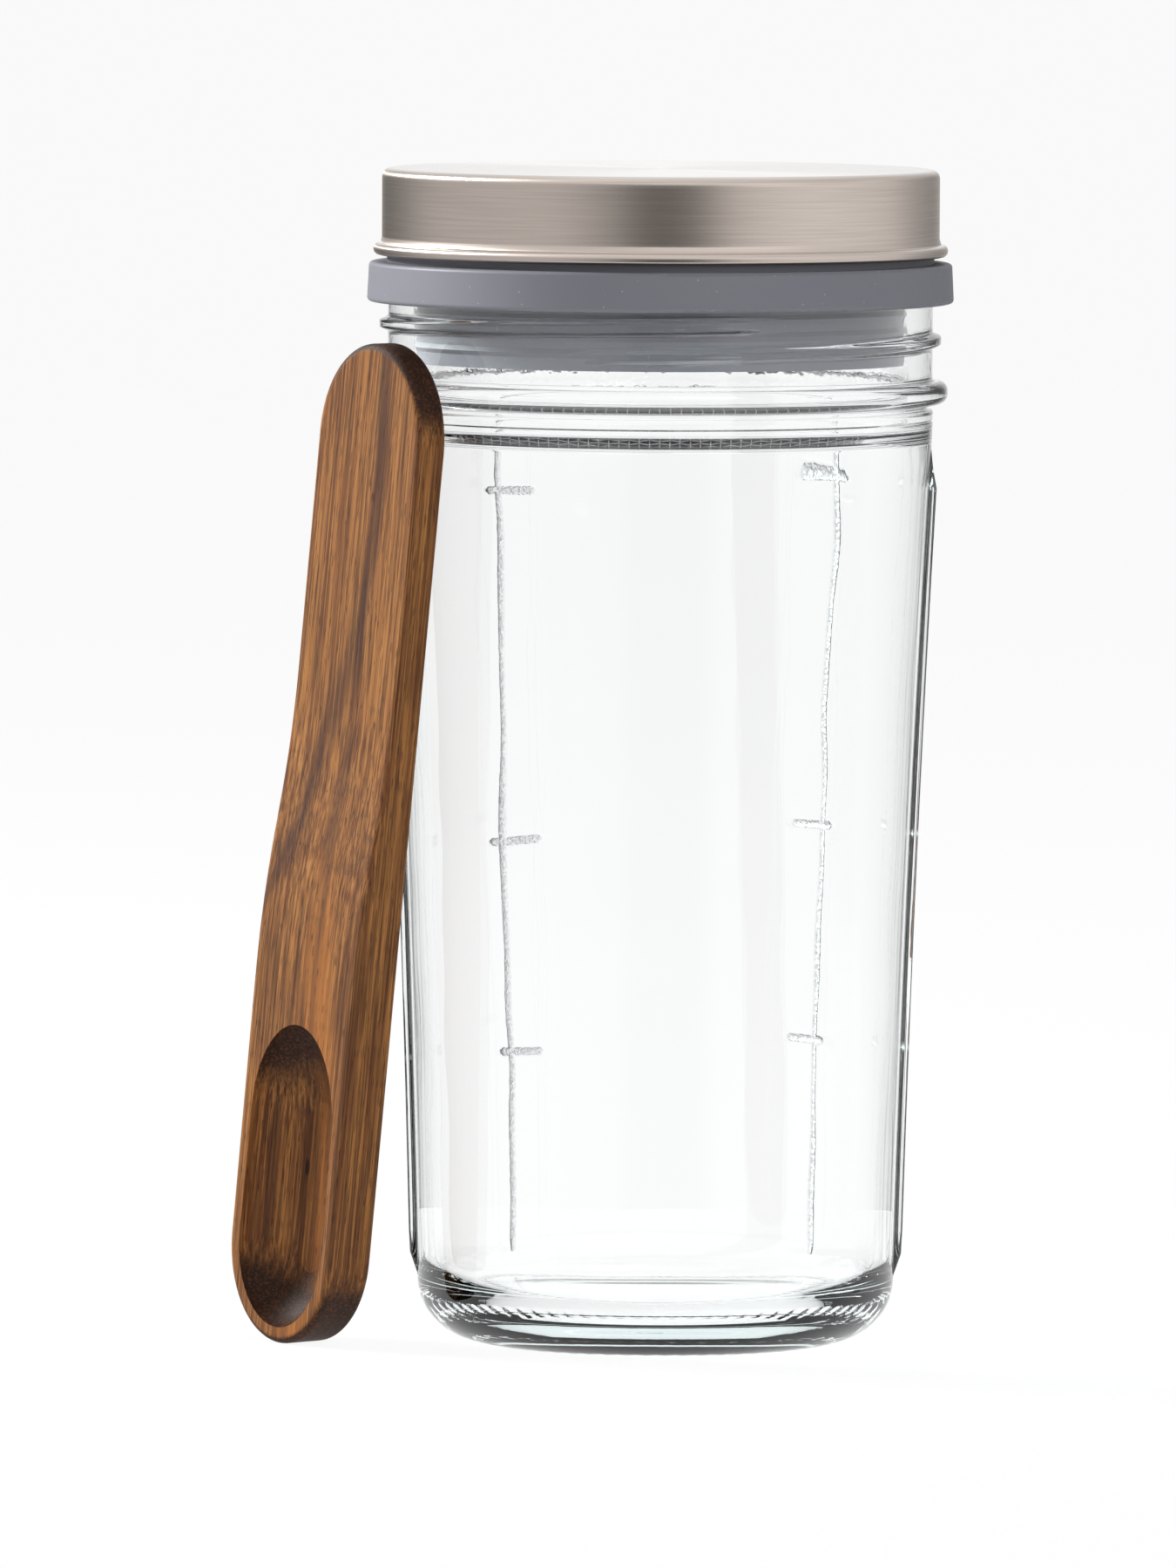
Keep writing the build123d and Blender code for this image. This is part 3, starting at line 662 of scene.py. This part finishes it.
mark_points = []
mark_edges = []
for centre, side_way, ticks in ((SCALE_LEFT, 1, TICKS_LEFT), (SCALE_RIGHT, -1, TICKS_RIGHT)):
    strokes = [[(centre, MARK_LOW + (MARK_HIGH - MARK_LOW) * index / 40) for index in range(41)]]
    for z in ticks:
        far = centre - side_way * TICK_INSIDE
        near = centre + side_way * TICK_OUTSIDE
        strokes.append([(far + (near - far) * index / 6, z) for index in range(7)])
    for stroke in strokes:
        first = len(mark_points)
        mark_points += [on_wall(*point) for point in stroke]
        mark_edges += [(first + index, first + index + 1) for index in range(len(stroke) - 1)]
mark_mesh = bpy.data.meshes.new("mark_lines")
mark_mesh.from_pydata(mark_points, mark_edges, [])
mark_lines = bpy.data.objects.new("mark_lines", mark_mesh)
bpy.context.scene.collection.objects.link(mark_lines)

made, start = relief_tree("Raised scales", ("Rise", "Half width", "Edge"))
lines = add(made, "GeometryNodeObjectInfo", {"Object": mark_lines}).outputs["Geometry"]
gap = add(
    made, "GeometryNodeProximity", {0: lines}, target_element="EDGES"
).outputs["Distance"]
flat_edge = add(
    made, "ShaderNodeMath", {0: start.outputs["Half width"], 1: start.outputs["Edge"]},
    operation="SUBTRACT",
).outputs[0]
near_share = add(
    made, "ShaderNodeMapRange", {0: gap, 1: start.outputs["Half width"], 2: flat_edge, 3: 0.0, 4: 1.0},
    interpolation_type="SMOOTHSTEP",
).outputs[0]
marked = add(
    made, "ShaderNodeMath", {0: near_share, 1: outside_share(made)}, operation="MULTIPLY"
).outputs[0]
amount = add(
    made, "ShaderNodeMath", {0: start.outputs["Rise"], 1: marked}, operation="MULTIPLY"
).outputs[0]
kept = add(
    made, "GeometryNodeStoreNamedAttribute",
    {"Geometry": start.outputs[0], "Name": "mark", "Value": marked},
    data_type="FLOAT", domain="POINT",
)
end_tree(made, raise_surface(made, kept, amount), glass)
run_tree(jar, made, {"Rise": MARK_RISE * MM, "Half width": 0.9 * MM, "Edge": 0.6 * MM})
bpy.data.objects.remove(mark_lines)

# %% [markdown]
# The screw thread is a little more than one turn of a ridge that climbs one pitch in each turn.
# The tree works out, for each point of the neck, how far it is above or below that helix, both
# on the first turn and on the second, and raises it if it is close.

# %% Screw thread
PITCH = 5.08
THREAD_RISE = 1.5
THREAD_BASE = 2.9
THREAD_CREST = 1.2
THREAD_START = 250.0
THREAD_SWEEP = 406.0
THREAD_FADE = 14.0
THREAD_LOW = 184.0 - 0.87 - THREAD_BASE / 2 - PITCH * THREAD_SWEEP / 360

made, start = relief_tree("Screw thread", ("Pitch", "Rise", "Base", "Crest", "Start", "Sweep", "Fade", "Low"))
place = add(made, "ShaderNodeSeparateXYZ", {0: add(made, "GeometryNodeInputPosition").outputs[0]})


def reckon(operation, first, second=0.0):
    """One sum in the thread's tree."""
    return add(made, "ShaderNodeMath", {0: first, 1: second}, operation=operation).outputs[0]


angle = reckon("ARCTAN2", place.outputs["Y"], place.outputs["X"])
turned_by = reckon("FLOORED_MODULO", reckon("SUBTRACT", angle, start.outputs["Start"]), 2 * pi)
ridges = []
for lap in (0, 1):
    gone = reckon("ADD", turned_by, 2 * pi * lap)
    line = reckon("ADD", start.outputs["Low"], reckon("MULTIPLY", start.outputs["Pitch"], reckon("DIVIDE", gone, 2 * pi)))
    gap = reckon("ABSOLUTE", reckon("SUBTRACT", place.outputs["Z"], line))
    ridge = add(
        made, "ShaderNodeMapRange",
        {0: gap, 1: reckon("DIVIDE", start.outputs["Base"], 2.0), 2: reckon("DIVIDE", start.outputs["Crest"], 2.0), 3: 0.0, 4: 1.0},
        interpolation_type="SMOOTHSTEP",
    ).outputs[0]
    left = reckon("SUBTRACT", start.outputs["Sweep"], gone)
    for run in (gone, left):
        fade = add(
            made, "ShaderNodeMapRange", {0: run, 1: 0.0, 2: start.outputs["Fade"], 3: 0.0, 4: 1.0},
            interpolation_type="SMOOTHSTEP",
        ).outputs[0]
        ridge = reckon("MULTIPLY", ridge, fade)
    ridges.append(ridge)
amount = reckon("MULTIPLY", reckon("MULTIPLY", reckon("MAXIMUM", *ridges), start.outputs["Rise"]), outside_share(made))
on_neck = add(
    made, "ShaderNodeMath", {0: place.outputs["Z"], 1: (BEAD + BEAD_HALF + 0.4) * MM}, operation="GREATER_THAN"
).outputs[0]
end_tree(made, raise_surface(made, start, reckon("MULTIPLY", amount, on_neck)), glass)
run_tree(jar, made, {
    "Pitch": PITCH * MM, "Rise": THREAD_RISE * MM, "Base": THREAD_BASE * MM, "Crest": THREAD_CREST * MM,
    "Start": radians(THREAD_START), "Sweep": radians(THREAD_SWEEP), "Fade": radians(THREAD_FADE),
    "Low": THREAD_LOW * MM,
})

# %% [markdown]
# Sixty-four flutes cross the ring that the jar stands on, so that a hot jar never bears on its
# full ring. The inside of a pressed wall is never quite even either: slow waves of about a tenth
# of a millimetre make whatever is seen through the glass waver.

# %% Flutes and waves
FLUTES = 64
FLUTE_DEPTH = 0.35

made, start = relief_tree("Bearing flutes", ("Count", "Depth", "In", "Out"))
place = add(made, "ShaderNodeSeparateXYZ", {0: add(made, "GeometryNodeInputPosition").outputs[0]})
angle = reckon("ARCTAN2", place.outputs["Y"], place.outputs["X"])
wave = reckon("COSINE", reckon("MULTIPLY", angle, start.outputs["Count"]))
dip = add(made, "ShaderNodeMapRange", {0: wave, 1: -0.2, 2: 1.0, 3: 0.0, 4: 1.0}).outputs[0]
radius = reckon("SQRT", reckon("ADD", reckon("POWER", reckon("ABSOLUTE", place.outputs["X"]), 2.0), reckon("POWER", reckon("ABSOLUTE", place.outputs["Y"]), 2.0)))
in_share = add(made, "ShaderNodeMapRange", {0: radius, 1: start.outputs["In"], 2: reckon("ADD", start.outputs["In"], 0.5 * MM), 3: 0.0, 4: 1.0}).outputs[0]
out_share = add(made, "ShaderNodeMapRange", {0: radius, 1: start.outputs["Out"], 2: reckon("SUBTRACT", start.outputs["Out"], 2.0 * MM), 3: 0.0, 4: 1.0}).outputs[0]
low_share = add(made, "ShaderNodeMapRange", {0: place.outputs["Z"], 1: 1.2 * MM, 2: 0.4 * MM, 3: 0.0, 4: 1.0}).outputs[0]
lift = start.outputs["Depth"]
for share in (dip, in_share, out_share, low_share, outside_share(made)):
    lift = reckon("MULTIPLY", lift, share)
up = add(made, "ShaderNodeCombineXYZ", {"Z": lift}).outputs[0]
moved = add(made, "GeometryNodeSetPosition", {"Geometry": start.outputs[0], "Offset": up}).outputs[0]
end_tree(made, moved, glass)
run_tree(jar, made, {"Count": FLUTES, "Depth": FLUTE_DEPTH * MM, "In": RING_IN * MM, "Out": 35.0 * MM})

WAVE_LENGTH = 24.0
WAVE_RISE = 0.24
made, start = relief_tree("Wall waves", ("Length", "Rise"))
place = add(made, "GeometryNodeInputPosition").outputs[0]
scale = reckon("DIVIDE", 1.0, start.outputs["Length"])
noise = add(made, "ShaderNodeTexNoise", {"Vector": place, "Scale": scale, "Detail": 1.0}).outputs[0]
swing = reckon("MULTIPLY", reckon("SUBTRACT", noise, 0.5), reckon("MULTIPLY", start.outputs["Rise"], 2.0))
height = add(made, "ShaderNodeSeparateXYZ", {0: place}).outputs["Z"]
high_share = add(made, "ShaderNodeMapRange", {0: height, 1: 158 * MM, 2: 150 * MM, 3: 0.0, 4: 1.0}).outputs[0]
low_share = add(made, "ShaderNodeMapRange", {0: height, 1: 8 * MM, 2: 20 * MM, 3: 0.0, 4: 1.0}).outputs[0]
inside = reckon("SUBTRACT", 1.0, outside_share(made))
for share in (high_share, low_share, inside):
    swing = reckon("MULTIPLY", swing, share)
end_tree(made, raise_surface(made, start, swing), glass)
run_tree(jar, made, {"Length": WAVE_LENGTH * MM, "Rise": WAVE_RISE * MM})
place_piece(jar, "jar", "pressed_glass", "glass_jar")

# %% [markdown]
# The cap is drawn from half-millimetre sheet: a flat crown, a tight corner, an upright skirt, a
# small step and a rolled bead that hides the raw edge.

# %% Steel cap
CAP_RADIUS = 49.3
CAP_TOP = 207.5
CAP_LOW = 192.2
SHEET = 0.5
BEAD_OUT = 50.8
cap_section = rounded(
    [
        (0, CAP_TOP - SHEET, 0), (CAP_RADIUS - SHEET, CAP_TOP - SHEET, 1.0),
        (CAP_RADIUS - SHEET, CAP_LOW + 0.4, 0.3), (CAP_RADIUS + 0.1, CAP_LOW, 0.6),
        (BEAD_OUT, CAP_LOW, 0.95), (BEAD_OUT, CAP_LOW + 2.0, 0.95),
        (CAP_RADIUS + 0.3, CAP_LOW + 2.1, 0.2), (CAP_RADIUS, CAP_LOW + 3.2, 0.8),
        (CAP_RADIUS, CAP_TOP, 1.5), (0, CAP_TOP, 0),
    ],
    0.5,
)
even_turns = [2 * pi * index / 256 for index in range(256)]
crown_limit = 2.0
cap_rows = [cap_section[0]]
for point in cap_section[1:-1]:
    on_crown = point.x < CAP_RADIUS - 3
    if not on_crown or abs(point.x - cap_rows[-1].x) > crown_limit:
        cap_rows.append(point)
cap_rows.append(cap_section[-1])
cap = turned("brushed_cap", cap_rows, even_turns, cap_steel, "cap", "brushed_cap_steel")
place_piece(cap, "cap", "brushed_cap_steel", "lid_shell")

# %% [markdown]
# The strainer is plain-woven wire. Real cloth has about thirty wires to the inch, which is too
# fine to show, so it is drawn coarser. A grid's edges of one direction are kept as the warp, its
# points go up and down in turn, and a thin round section is swept along them. The weft is the
# same with the other direction and the opposite sign.

# %% Woven wire
WIRE_PITCH = 1.9
WIRE_RADIUS = 0.13
MESH_RADIUS = 40.9
MESH_HEIGHT = 175.65
WIRE_COUNT = 2 * round(MESH_RADIUS / WIRE_PITCH) + 1


def woven(name, keep_x):
    """One set of wires of the cloth."""
    made, start = relief_tree(name, ("Pitch", "Radius", "Swing", "Reach", "Height"))
    edge = add(made, "ShaderNodeMath", {0: start.outputs["Pitch"], 1: WIRE_COUNT - 1}, operation="MULTIPLY").outputs[0]
    grid = add(made, "GeometryNodeMeshGrid", {0: edge, 1: edge, 2: WIRE_COUNT, 3: WIRE_COUNT}).outputs[0]
    ends = add(made, "GeometryNodeInputMeshEdgeVertices")
    span = add(
        made, "ShaderNodeVectorMath", {0: ends.outputs["Position 1"], 1: ends.outputs["Position 2"]},
        operation="SUBTRACT",
    ).outputs[0]
    across = add(made, "ShaderNodeSeparateXYZ", {0: span}).outputs["Y" if keep_x else "X"]
    size = add(made, "ShaderNodeMath", {0: across}, operation="ABSOLUTE").outputs[0]
    other_way = add(made, "ShaderNodeMath", {0: size, 1: 1e-6}, operation="GREATER_THAN").outputs[0]
    threads = add(
        made, "GeometryNodeDeleteGeometry", {"Geometry": grid, "Selection": other_way},
        domain="EDGE", mode="EDGE_FACE",
    ).outputs[0]
    place = add(made, "GeometryNodeInputPosition").outputs[0]
    far = add(made, "ShaderNodeVectorMath", {0: place}, operation="LENGTH").outputs["Value"]
    too_far = add(made, "ShaderNodeMath", {0: far, 1: start.outputs["Reach"]}, operation="GREATER_THAN").outputs[0]
    disc = add(
        made, "GeometryNodeDeleteGeometry", {"Geometry": threads, "Selection": too_far},
        domain="POINT", mode="ALL",
    ).outputs[0]
    steps = add(made, "ShaderNodeVectorMath", {0: place, 1: (1 / (WIRE_PITCH * MM),) * 3}, operation="MULTIPLY").outputs[0]
    parts = add(made, "ShaderNodeSeparateXYZ", {0: steps})
    total = add(made, "ShaderNodeMath", {0: parts.outputs[0], 1: parts.outputs[1]}, operation="ADD").outputs[0]
    crossing = add(made, "ShaderNodeMath", {0: total, 1: pi}, operation="MULTIPLY").outputs[0]
    over = add(made, "ShaderNodeMath", {0: crossing}, operation="COSINE").outputs[0]
    sign = 1.0 if keep_x else -1.0
    swing = add(made, "ShaderNodeMath", {0: over, 1: start.outputs["Swing"]}, operation="MULTIPLY").outputs[0]
    z = add(made, "ShaderNodeMath", {0: swing, 1: sign, 2: start.outputs["Height"]}, operation="MULTIPLY_ADD").outputs[0]
    lift = add(made, "ShaderNodeCombineXYZ", {"Z": z}).outputs[0]
    waved = add(made, "GeometryNodeSetPosition", {"Geometry": disc, "Offset": lift}).outputs[0]
    curve = add(made, "GeometryNodeMeshToCurve", {"Mesh": waved}).outputs[0]
    ring = add(made, "GeometryNodeCurvePrimitiveCircle", {"Resolution": 5, "Radius": start.outputs["Radius"]}).outputs[0]
    wires = add(made, "GeometryNodeCurveToMesh", {"Curve": curve, "Profile Curve": ring, "Fill Caps": True}).outputs[0]
    end_tree(made, wires, wire_steel)
    piece = bpy.data.objects.new(name, bpy.data.meshes.new(name))
    bpy.context.scene.collection.objects.link(piece)
    run_tree(piece, made, {
        "Pitch": WIRE_PITCH * MM, "Radius": WIRE_RADIUS * MM, "Swing": WIRE_RADIUS * 0.9 * MM,
        "Reach": MESH_RADIUS * MM, "Height": MESH_HEIGHT * MM,
    })
    return piece


warp = woven("wire_warp", True)
weft = woven("wire_weft", False)
place_piece(warp, "strainer", "woven_wire", "strainer_mesh")
place_piece(weft, "strainer", "woven_wire", "strainer_mesh")

# %% [markdown]
# Three solids already have the right shape, so they stay and only get their finish.

# %% Finishes of the solids that stay
for node, material in (
    ("silicone_strainer_ring", silicone), ("mesh_rim", rim_steel), ("measuring_spoon", acacia),
):
    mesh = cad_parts[node].data
    mesh.materials.clear()
    mesh.materials.append(material)

# %% [markdown]
# The object stands on a large pale floor in a bright studio. The camera, mirrors and glass see
# that surrounding as white, and soft lamps light the wood and silicone at a plain level. Clear
# glass on pure white has nothing to show, so the white is made of upright panels with greyer gaps
# between them, as round a glass photographer's table. A ray that relief or an edge bends by more
# than a few degrees meets a gap and draws a grey line. There is a panel every 45 degrees, so that
# the jar reads the same from the front, the sides and the back.

# %% Floor
floor_size = 60.0
floor_mesh = bpy.data.meshes.new("floor")
floor_mesh.from_pydata(
    [(-floor_size, -floor_size, 0), (floor_size, -floor_size, 0), (floor_size, floor_size, 0), (-floor_size, floor_size, 0)],
    [], [(0, 1, 2, 3)],
)
pale, tree, output = new_material("Pale studio floor")
path = add(tree, "ShaderNodeLightPath")
seen = add(tree, "ShaderNodeMath", {0: path.outputs["Is Camera Ray"], 1: path.outputs["Is Glossy Ray"]}, operation="MAXIMUM").outputs[0]
seen = add(tree, "ShaderNodeMath", {0: seen, 1: path.outputs["Is Transmission Ray"]}, operation="MAXIMUM").outputs[0]
seen_share = add(tree, "ShaderNodeMath", {0: seen, 1: 0.92}, operation="MULTIPLY").outputs[0]
matt = add(tree, "ShaderNodeBsdfDiffuse", {"Color": colour("#f0f0f0")})
white = add(tree, "ShaderNodeEmission", {"Color": colour("#ffffff"), "Strength": 1.0})
mixed = add(tree, "ShaderNodeMixShader", {0: seen_share, 1: matt.outputs[0], 2: white.outputs[0]})
tree.links.new(mixed.outputs[0], output.inputs["Surface"])
floor_mesh.materials.append(pale)
floor = bpy.data.objects.new("floor", floor_mesh)
bpy.context.scene.collection.objects.link(floor)

# %% World
AMBIENT = 0.42
OFF_AXIS = 0.42
OVERHEAD = 0.6

world = bpy.data.worlds.new("Bright studio")
bpy.context.scene.world = world
world.use_nodes = True
tree = world.node_tree
tree.nodes.clear()
way = add(tree, "ShaderNodeSeparateXYZ", {0: add(tree, "ShaderNodeTexCoord").outputs["Generated"]})
path = add(tree, "ShaderNodeLightPath")
azimuth = add(tree, "ShaderNodeMath", {0: way.outputs["X"], 1: way.outputs["Y"]}, operation="ARCTAN2")
eighths = add(tree, "ShaderNodeMath", {0: azimuth.outputs[0], 1: 8.0}, operation="MULTIPLY").outputs[0]
panel_wave = add(tree, "ShaderNodeMath", {0: eighths}, operation="COSINE").outputs[0]
panels = add(
    tree, "ShaderNodeMapRange", {0: panel_wave, 1: -0.85, 2: 0.1, 3: OFF_AXIS, 4: 1.0},
    interpolation_type="SMOOTHSTEP",
).outputs[0]
ceiling = add(
    tree, "ShaderNodeMapRange", {0: way.outputs["Z"], 1: 0.3, 2: 0.7, 3: 1.0, 4: OVERHEAD},
    interpolation_type="SMOOTHSTEP",
).outputs[0]
through = add(tree, "ShaderNodeMath", {0: panels, 1: ceiling}, operation="MULTIPLY").outputs[0]
strength = add(
    tree, "ShaderNodeMix", {0: path.outputs["Is Transmission Ray"], 2: AMBIENT, 3: through},
    data_type="FLOAT",
).outputs[0]
white_rays = add(
    tree, "ShaderNodeMath", {0: path.outputs["Is Camera Ray"], 1: path.outputs["Is Glossy Ray"]},
    operation="MAXIMUM",
).outputs[0]
strength = add(tree, "ShaderNodeMix", {0: white_rays, 2: strength, 3: 1.0}, data_type="FLOAT").outputs[0]
sky = add(tree, "ShaderNodeBackground", {"Color": colour("#ffffff"), "Strength": strength})
add(tree, "ShaderNodeOutputWorld", {0: sky.outputs[0]})

# %% [markdown]
# What a mirror sees is set up apart from what lights the object: a round tent, with a hem that
# lies on the floor, which only glossy rays meet. It is white with a dark card beside the lens, which gives the skirt its tall dark
# band, and with dark strips behind at both sides, which draw its edges. The grey of the tent is
# given at azimuths from the camera's side, positive to the right. The cards end at a height, above
# which the tent is white, so that the crown shows a bright ceiling from above.

# %% Tent for reflections
TENT_RADIUS = 0.9
TENT_HEM = 0.2
TENT_HEIGHT = 1.5
CARD_TOP = 0.7
TENT_GREYS = {
    -180: 1.0, -168: 0.9, -160: 0.1, -138: 0.2, -100: 0.66, -45: 0.74, -19: 0.5, -8: 0.03,
    14: 0.03, 30: 0.8, 60: 1.0, 100: 0.9, 130: 0.4, 152: 0.25, 166: 0.8, 180: 1.0,
}
tent_paint, tree, output = new_material("Light tent with cards")
spot = add(tree, "ShaderNodeSeparateXYZ", {0: add(tree, "ShaderNodeTexCoord").outputs["Object"]})
behind = add(tree, "ShaderNodeMath", {0: spot.outputs["Y"], 1: -1.0}, operation="MULTIPLY").outputs[0]
azimuth = add(tree, "ShaderNodeMath", {0: spot.outputs["X"], 1: behind}, operation="ARCTAN2").outputs[0]
around = add(tree, "ShaderNodeMapRange", {0: azimuth, 1: -pi, 2: pi, 3: 0.0, 4: 1.0}).outputs[0]
ramp = add(tree, "ShaderNodeValToRGB", {0: around})
ramp.color_ramp.interpolation = "EASE"
stops = ramp.color_ramp.elements
for index, (turn, grey_level) in enumerate(TENT_GREYS.items()):
    position = (turn + 180) / 360
    if index == 0:
        stop = stops[0]
    elif index == len(TENT_GREYS) - 1:
        stop = stops[len(stops) - 1]
    else:
        stop = stops.new(position)
    stop.position = position
    stop.color = (grey_level, grey_level, grey_level, 1)
above = add(
    tree, "ShaderNodeMapRange", {0: spot.outputs["Z"], 1: CARD_TOP * 0.45, 2: CARD_TOP, 3: 0.0, 4: 1.0},
    interpolation_type="SMOOTHSTEP",
).outputs[0]
faded = add(
    tree, "ShaderNodeMix", {0: above, 6: ramp.outputs[0], 7: colour("#eeeeee")}, data_type="RGBA"
).outputs[2]
glow = add(tree, "ShaderNodeEmission", {"Color": faded, "Strength": 1.0})
tree.links.new(glow.outputs[0], output.inputs["Surface"])

tent_sides = 96
tent_rows = ((TENT_HEM, 0.002), (TENT_RADIUS, 0.002), (TENT_RADIUS, TENT_HEIGHT))
tent_points = [
    (radius * cos(2 * pi * index / tent_sides), radius * sin(2 * pi * index / tent_sides), z)
    for radius, z in tent_rows for index in range(tent_sides)
]
tent_faces = [
    (
        row * tent_sides + index, row * tent_sides + (index + 1) % tent_sides,
        (row + 1) * tent_sides + (index + 1) % tent_sides, (row + 1) * tent_sides + index,
    )
    for row in range(len(tent_rows) - 1) for index in range(tent_sides)
]
tent_mesh = bpy.data.meshes.new("tent")
tent_mesh.from_pydata(tent_points, [], tent_faces)
tent_mesh.materials.append(tent_paint)
tent = bpy.data.objects.new("tent", tent_mesh)
bpy.context.scene.collection.objects.link(tent)
tent.visible_camera = False
tent.visible_diffuse = False
tent.visible_transmission = False
tent.visible_volume_scatter = False
tent.visible_shadow = False

# %% [markdown]
# Two soft boxes. The key stands high at the left and grazes the scoop's face, so that the hollow
# is in shadow at its left and lit at its right. A weak fill stands by the camera.

# %% Lamps
def soft_box(name, place, size, watts):
    """A square area lamp that faces the object."""
    data = bpy.data.lights.new(name, "AREA")
    data.shape = "SQUARE"
    data.size = size
    data.energy = watts
    lamp = bpy.data.objects.new(name, data)
    lamp.location = place
    lamp.rotation_euler = (Vector((0, 0, 0.1)) - Vector(place)).to_track_quat("-Z", "Y").to_euler()
    bpy.context.scene.collection.objects.link(lamp)


soft_box("key", (-1.15, 0.4, 0.8), 0.35, 27.0)
soft_box("fill", (0.5, -1.3, 0.7), 0.8, 5.0)

# %% [markdown]
# The photograph was taken with a long lens from far away, a little above the middle of the jar.
# The sensor's 36 mm lie along the image's long side.

# %% Camera
CAMERA_PLACE = Vector((0, -2500, 283.4)) * MM
CAMERA_AIM = Vector((-12.39, 0, 98.38)) * MM
CAMERA_ROLL = 0.0049
LENS = 324.6

forward = (CAMERA_AIM - CAMERA_PLACE).normalized()
right = forward.cross(Vector((0, 0, 1))).normalized()
upward = right.cross(forward)
rolled_right = cos(CAMERA_ROLL) * right + sin(CAMERA_ROLL) * upward
rolled_up = cos(CAMERA_ROLL) * upward - sin(CAMERA_ROLL) * right
axes = Matrix((rolled_right, rolled_up, -forward)).transposed()
camera_data = bpy.data.cameras.new("camera")
camera_data.lens = LENS
camera_data.sensor_width = 36.0
camera = bpy.data.objects.new("camera", camera_data)
camera.matrix_world = Matrix.Translation(CAMERA_PLACE) @ axes.to_4x4()
bpy.context.scene.collection.objects.link(camera)
bpy.context.scene.camera = camera
bpy.context.scene.view_settings.view_transform = "Standard"
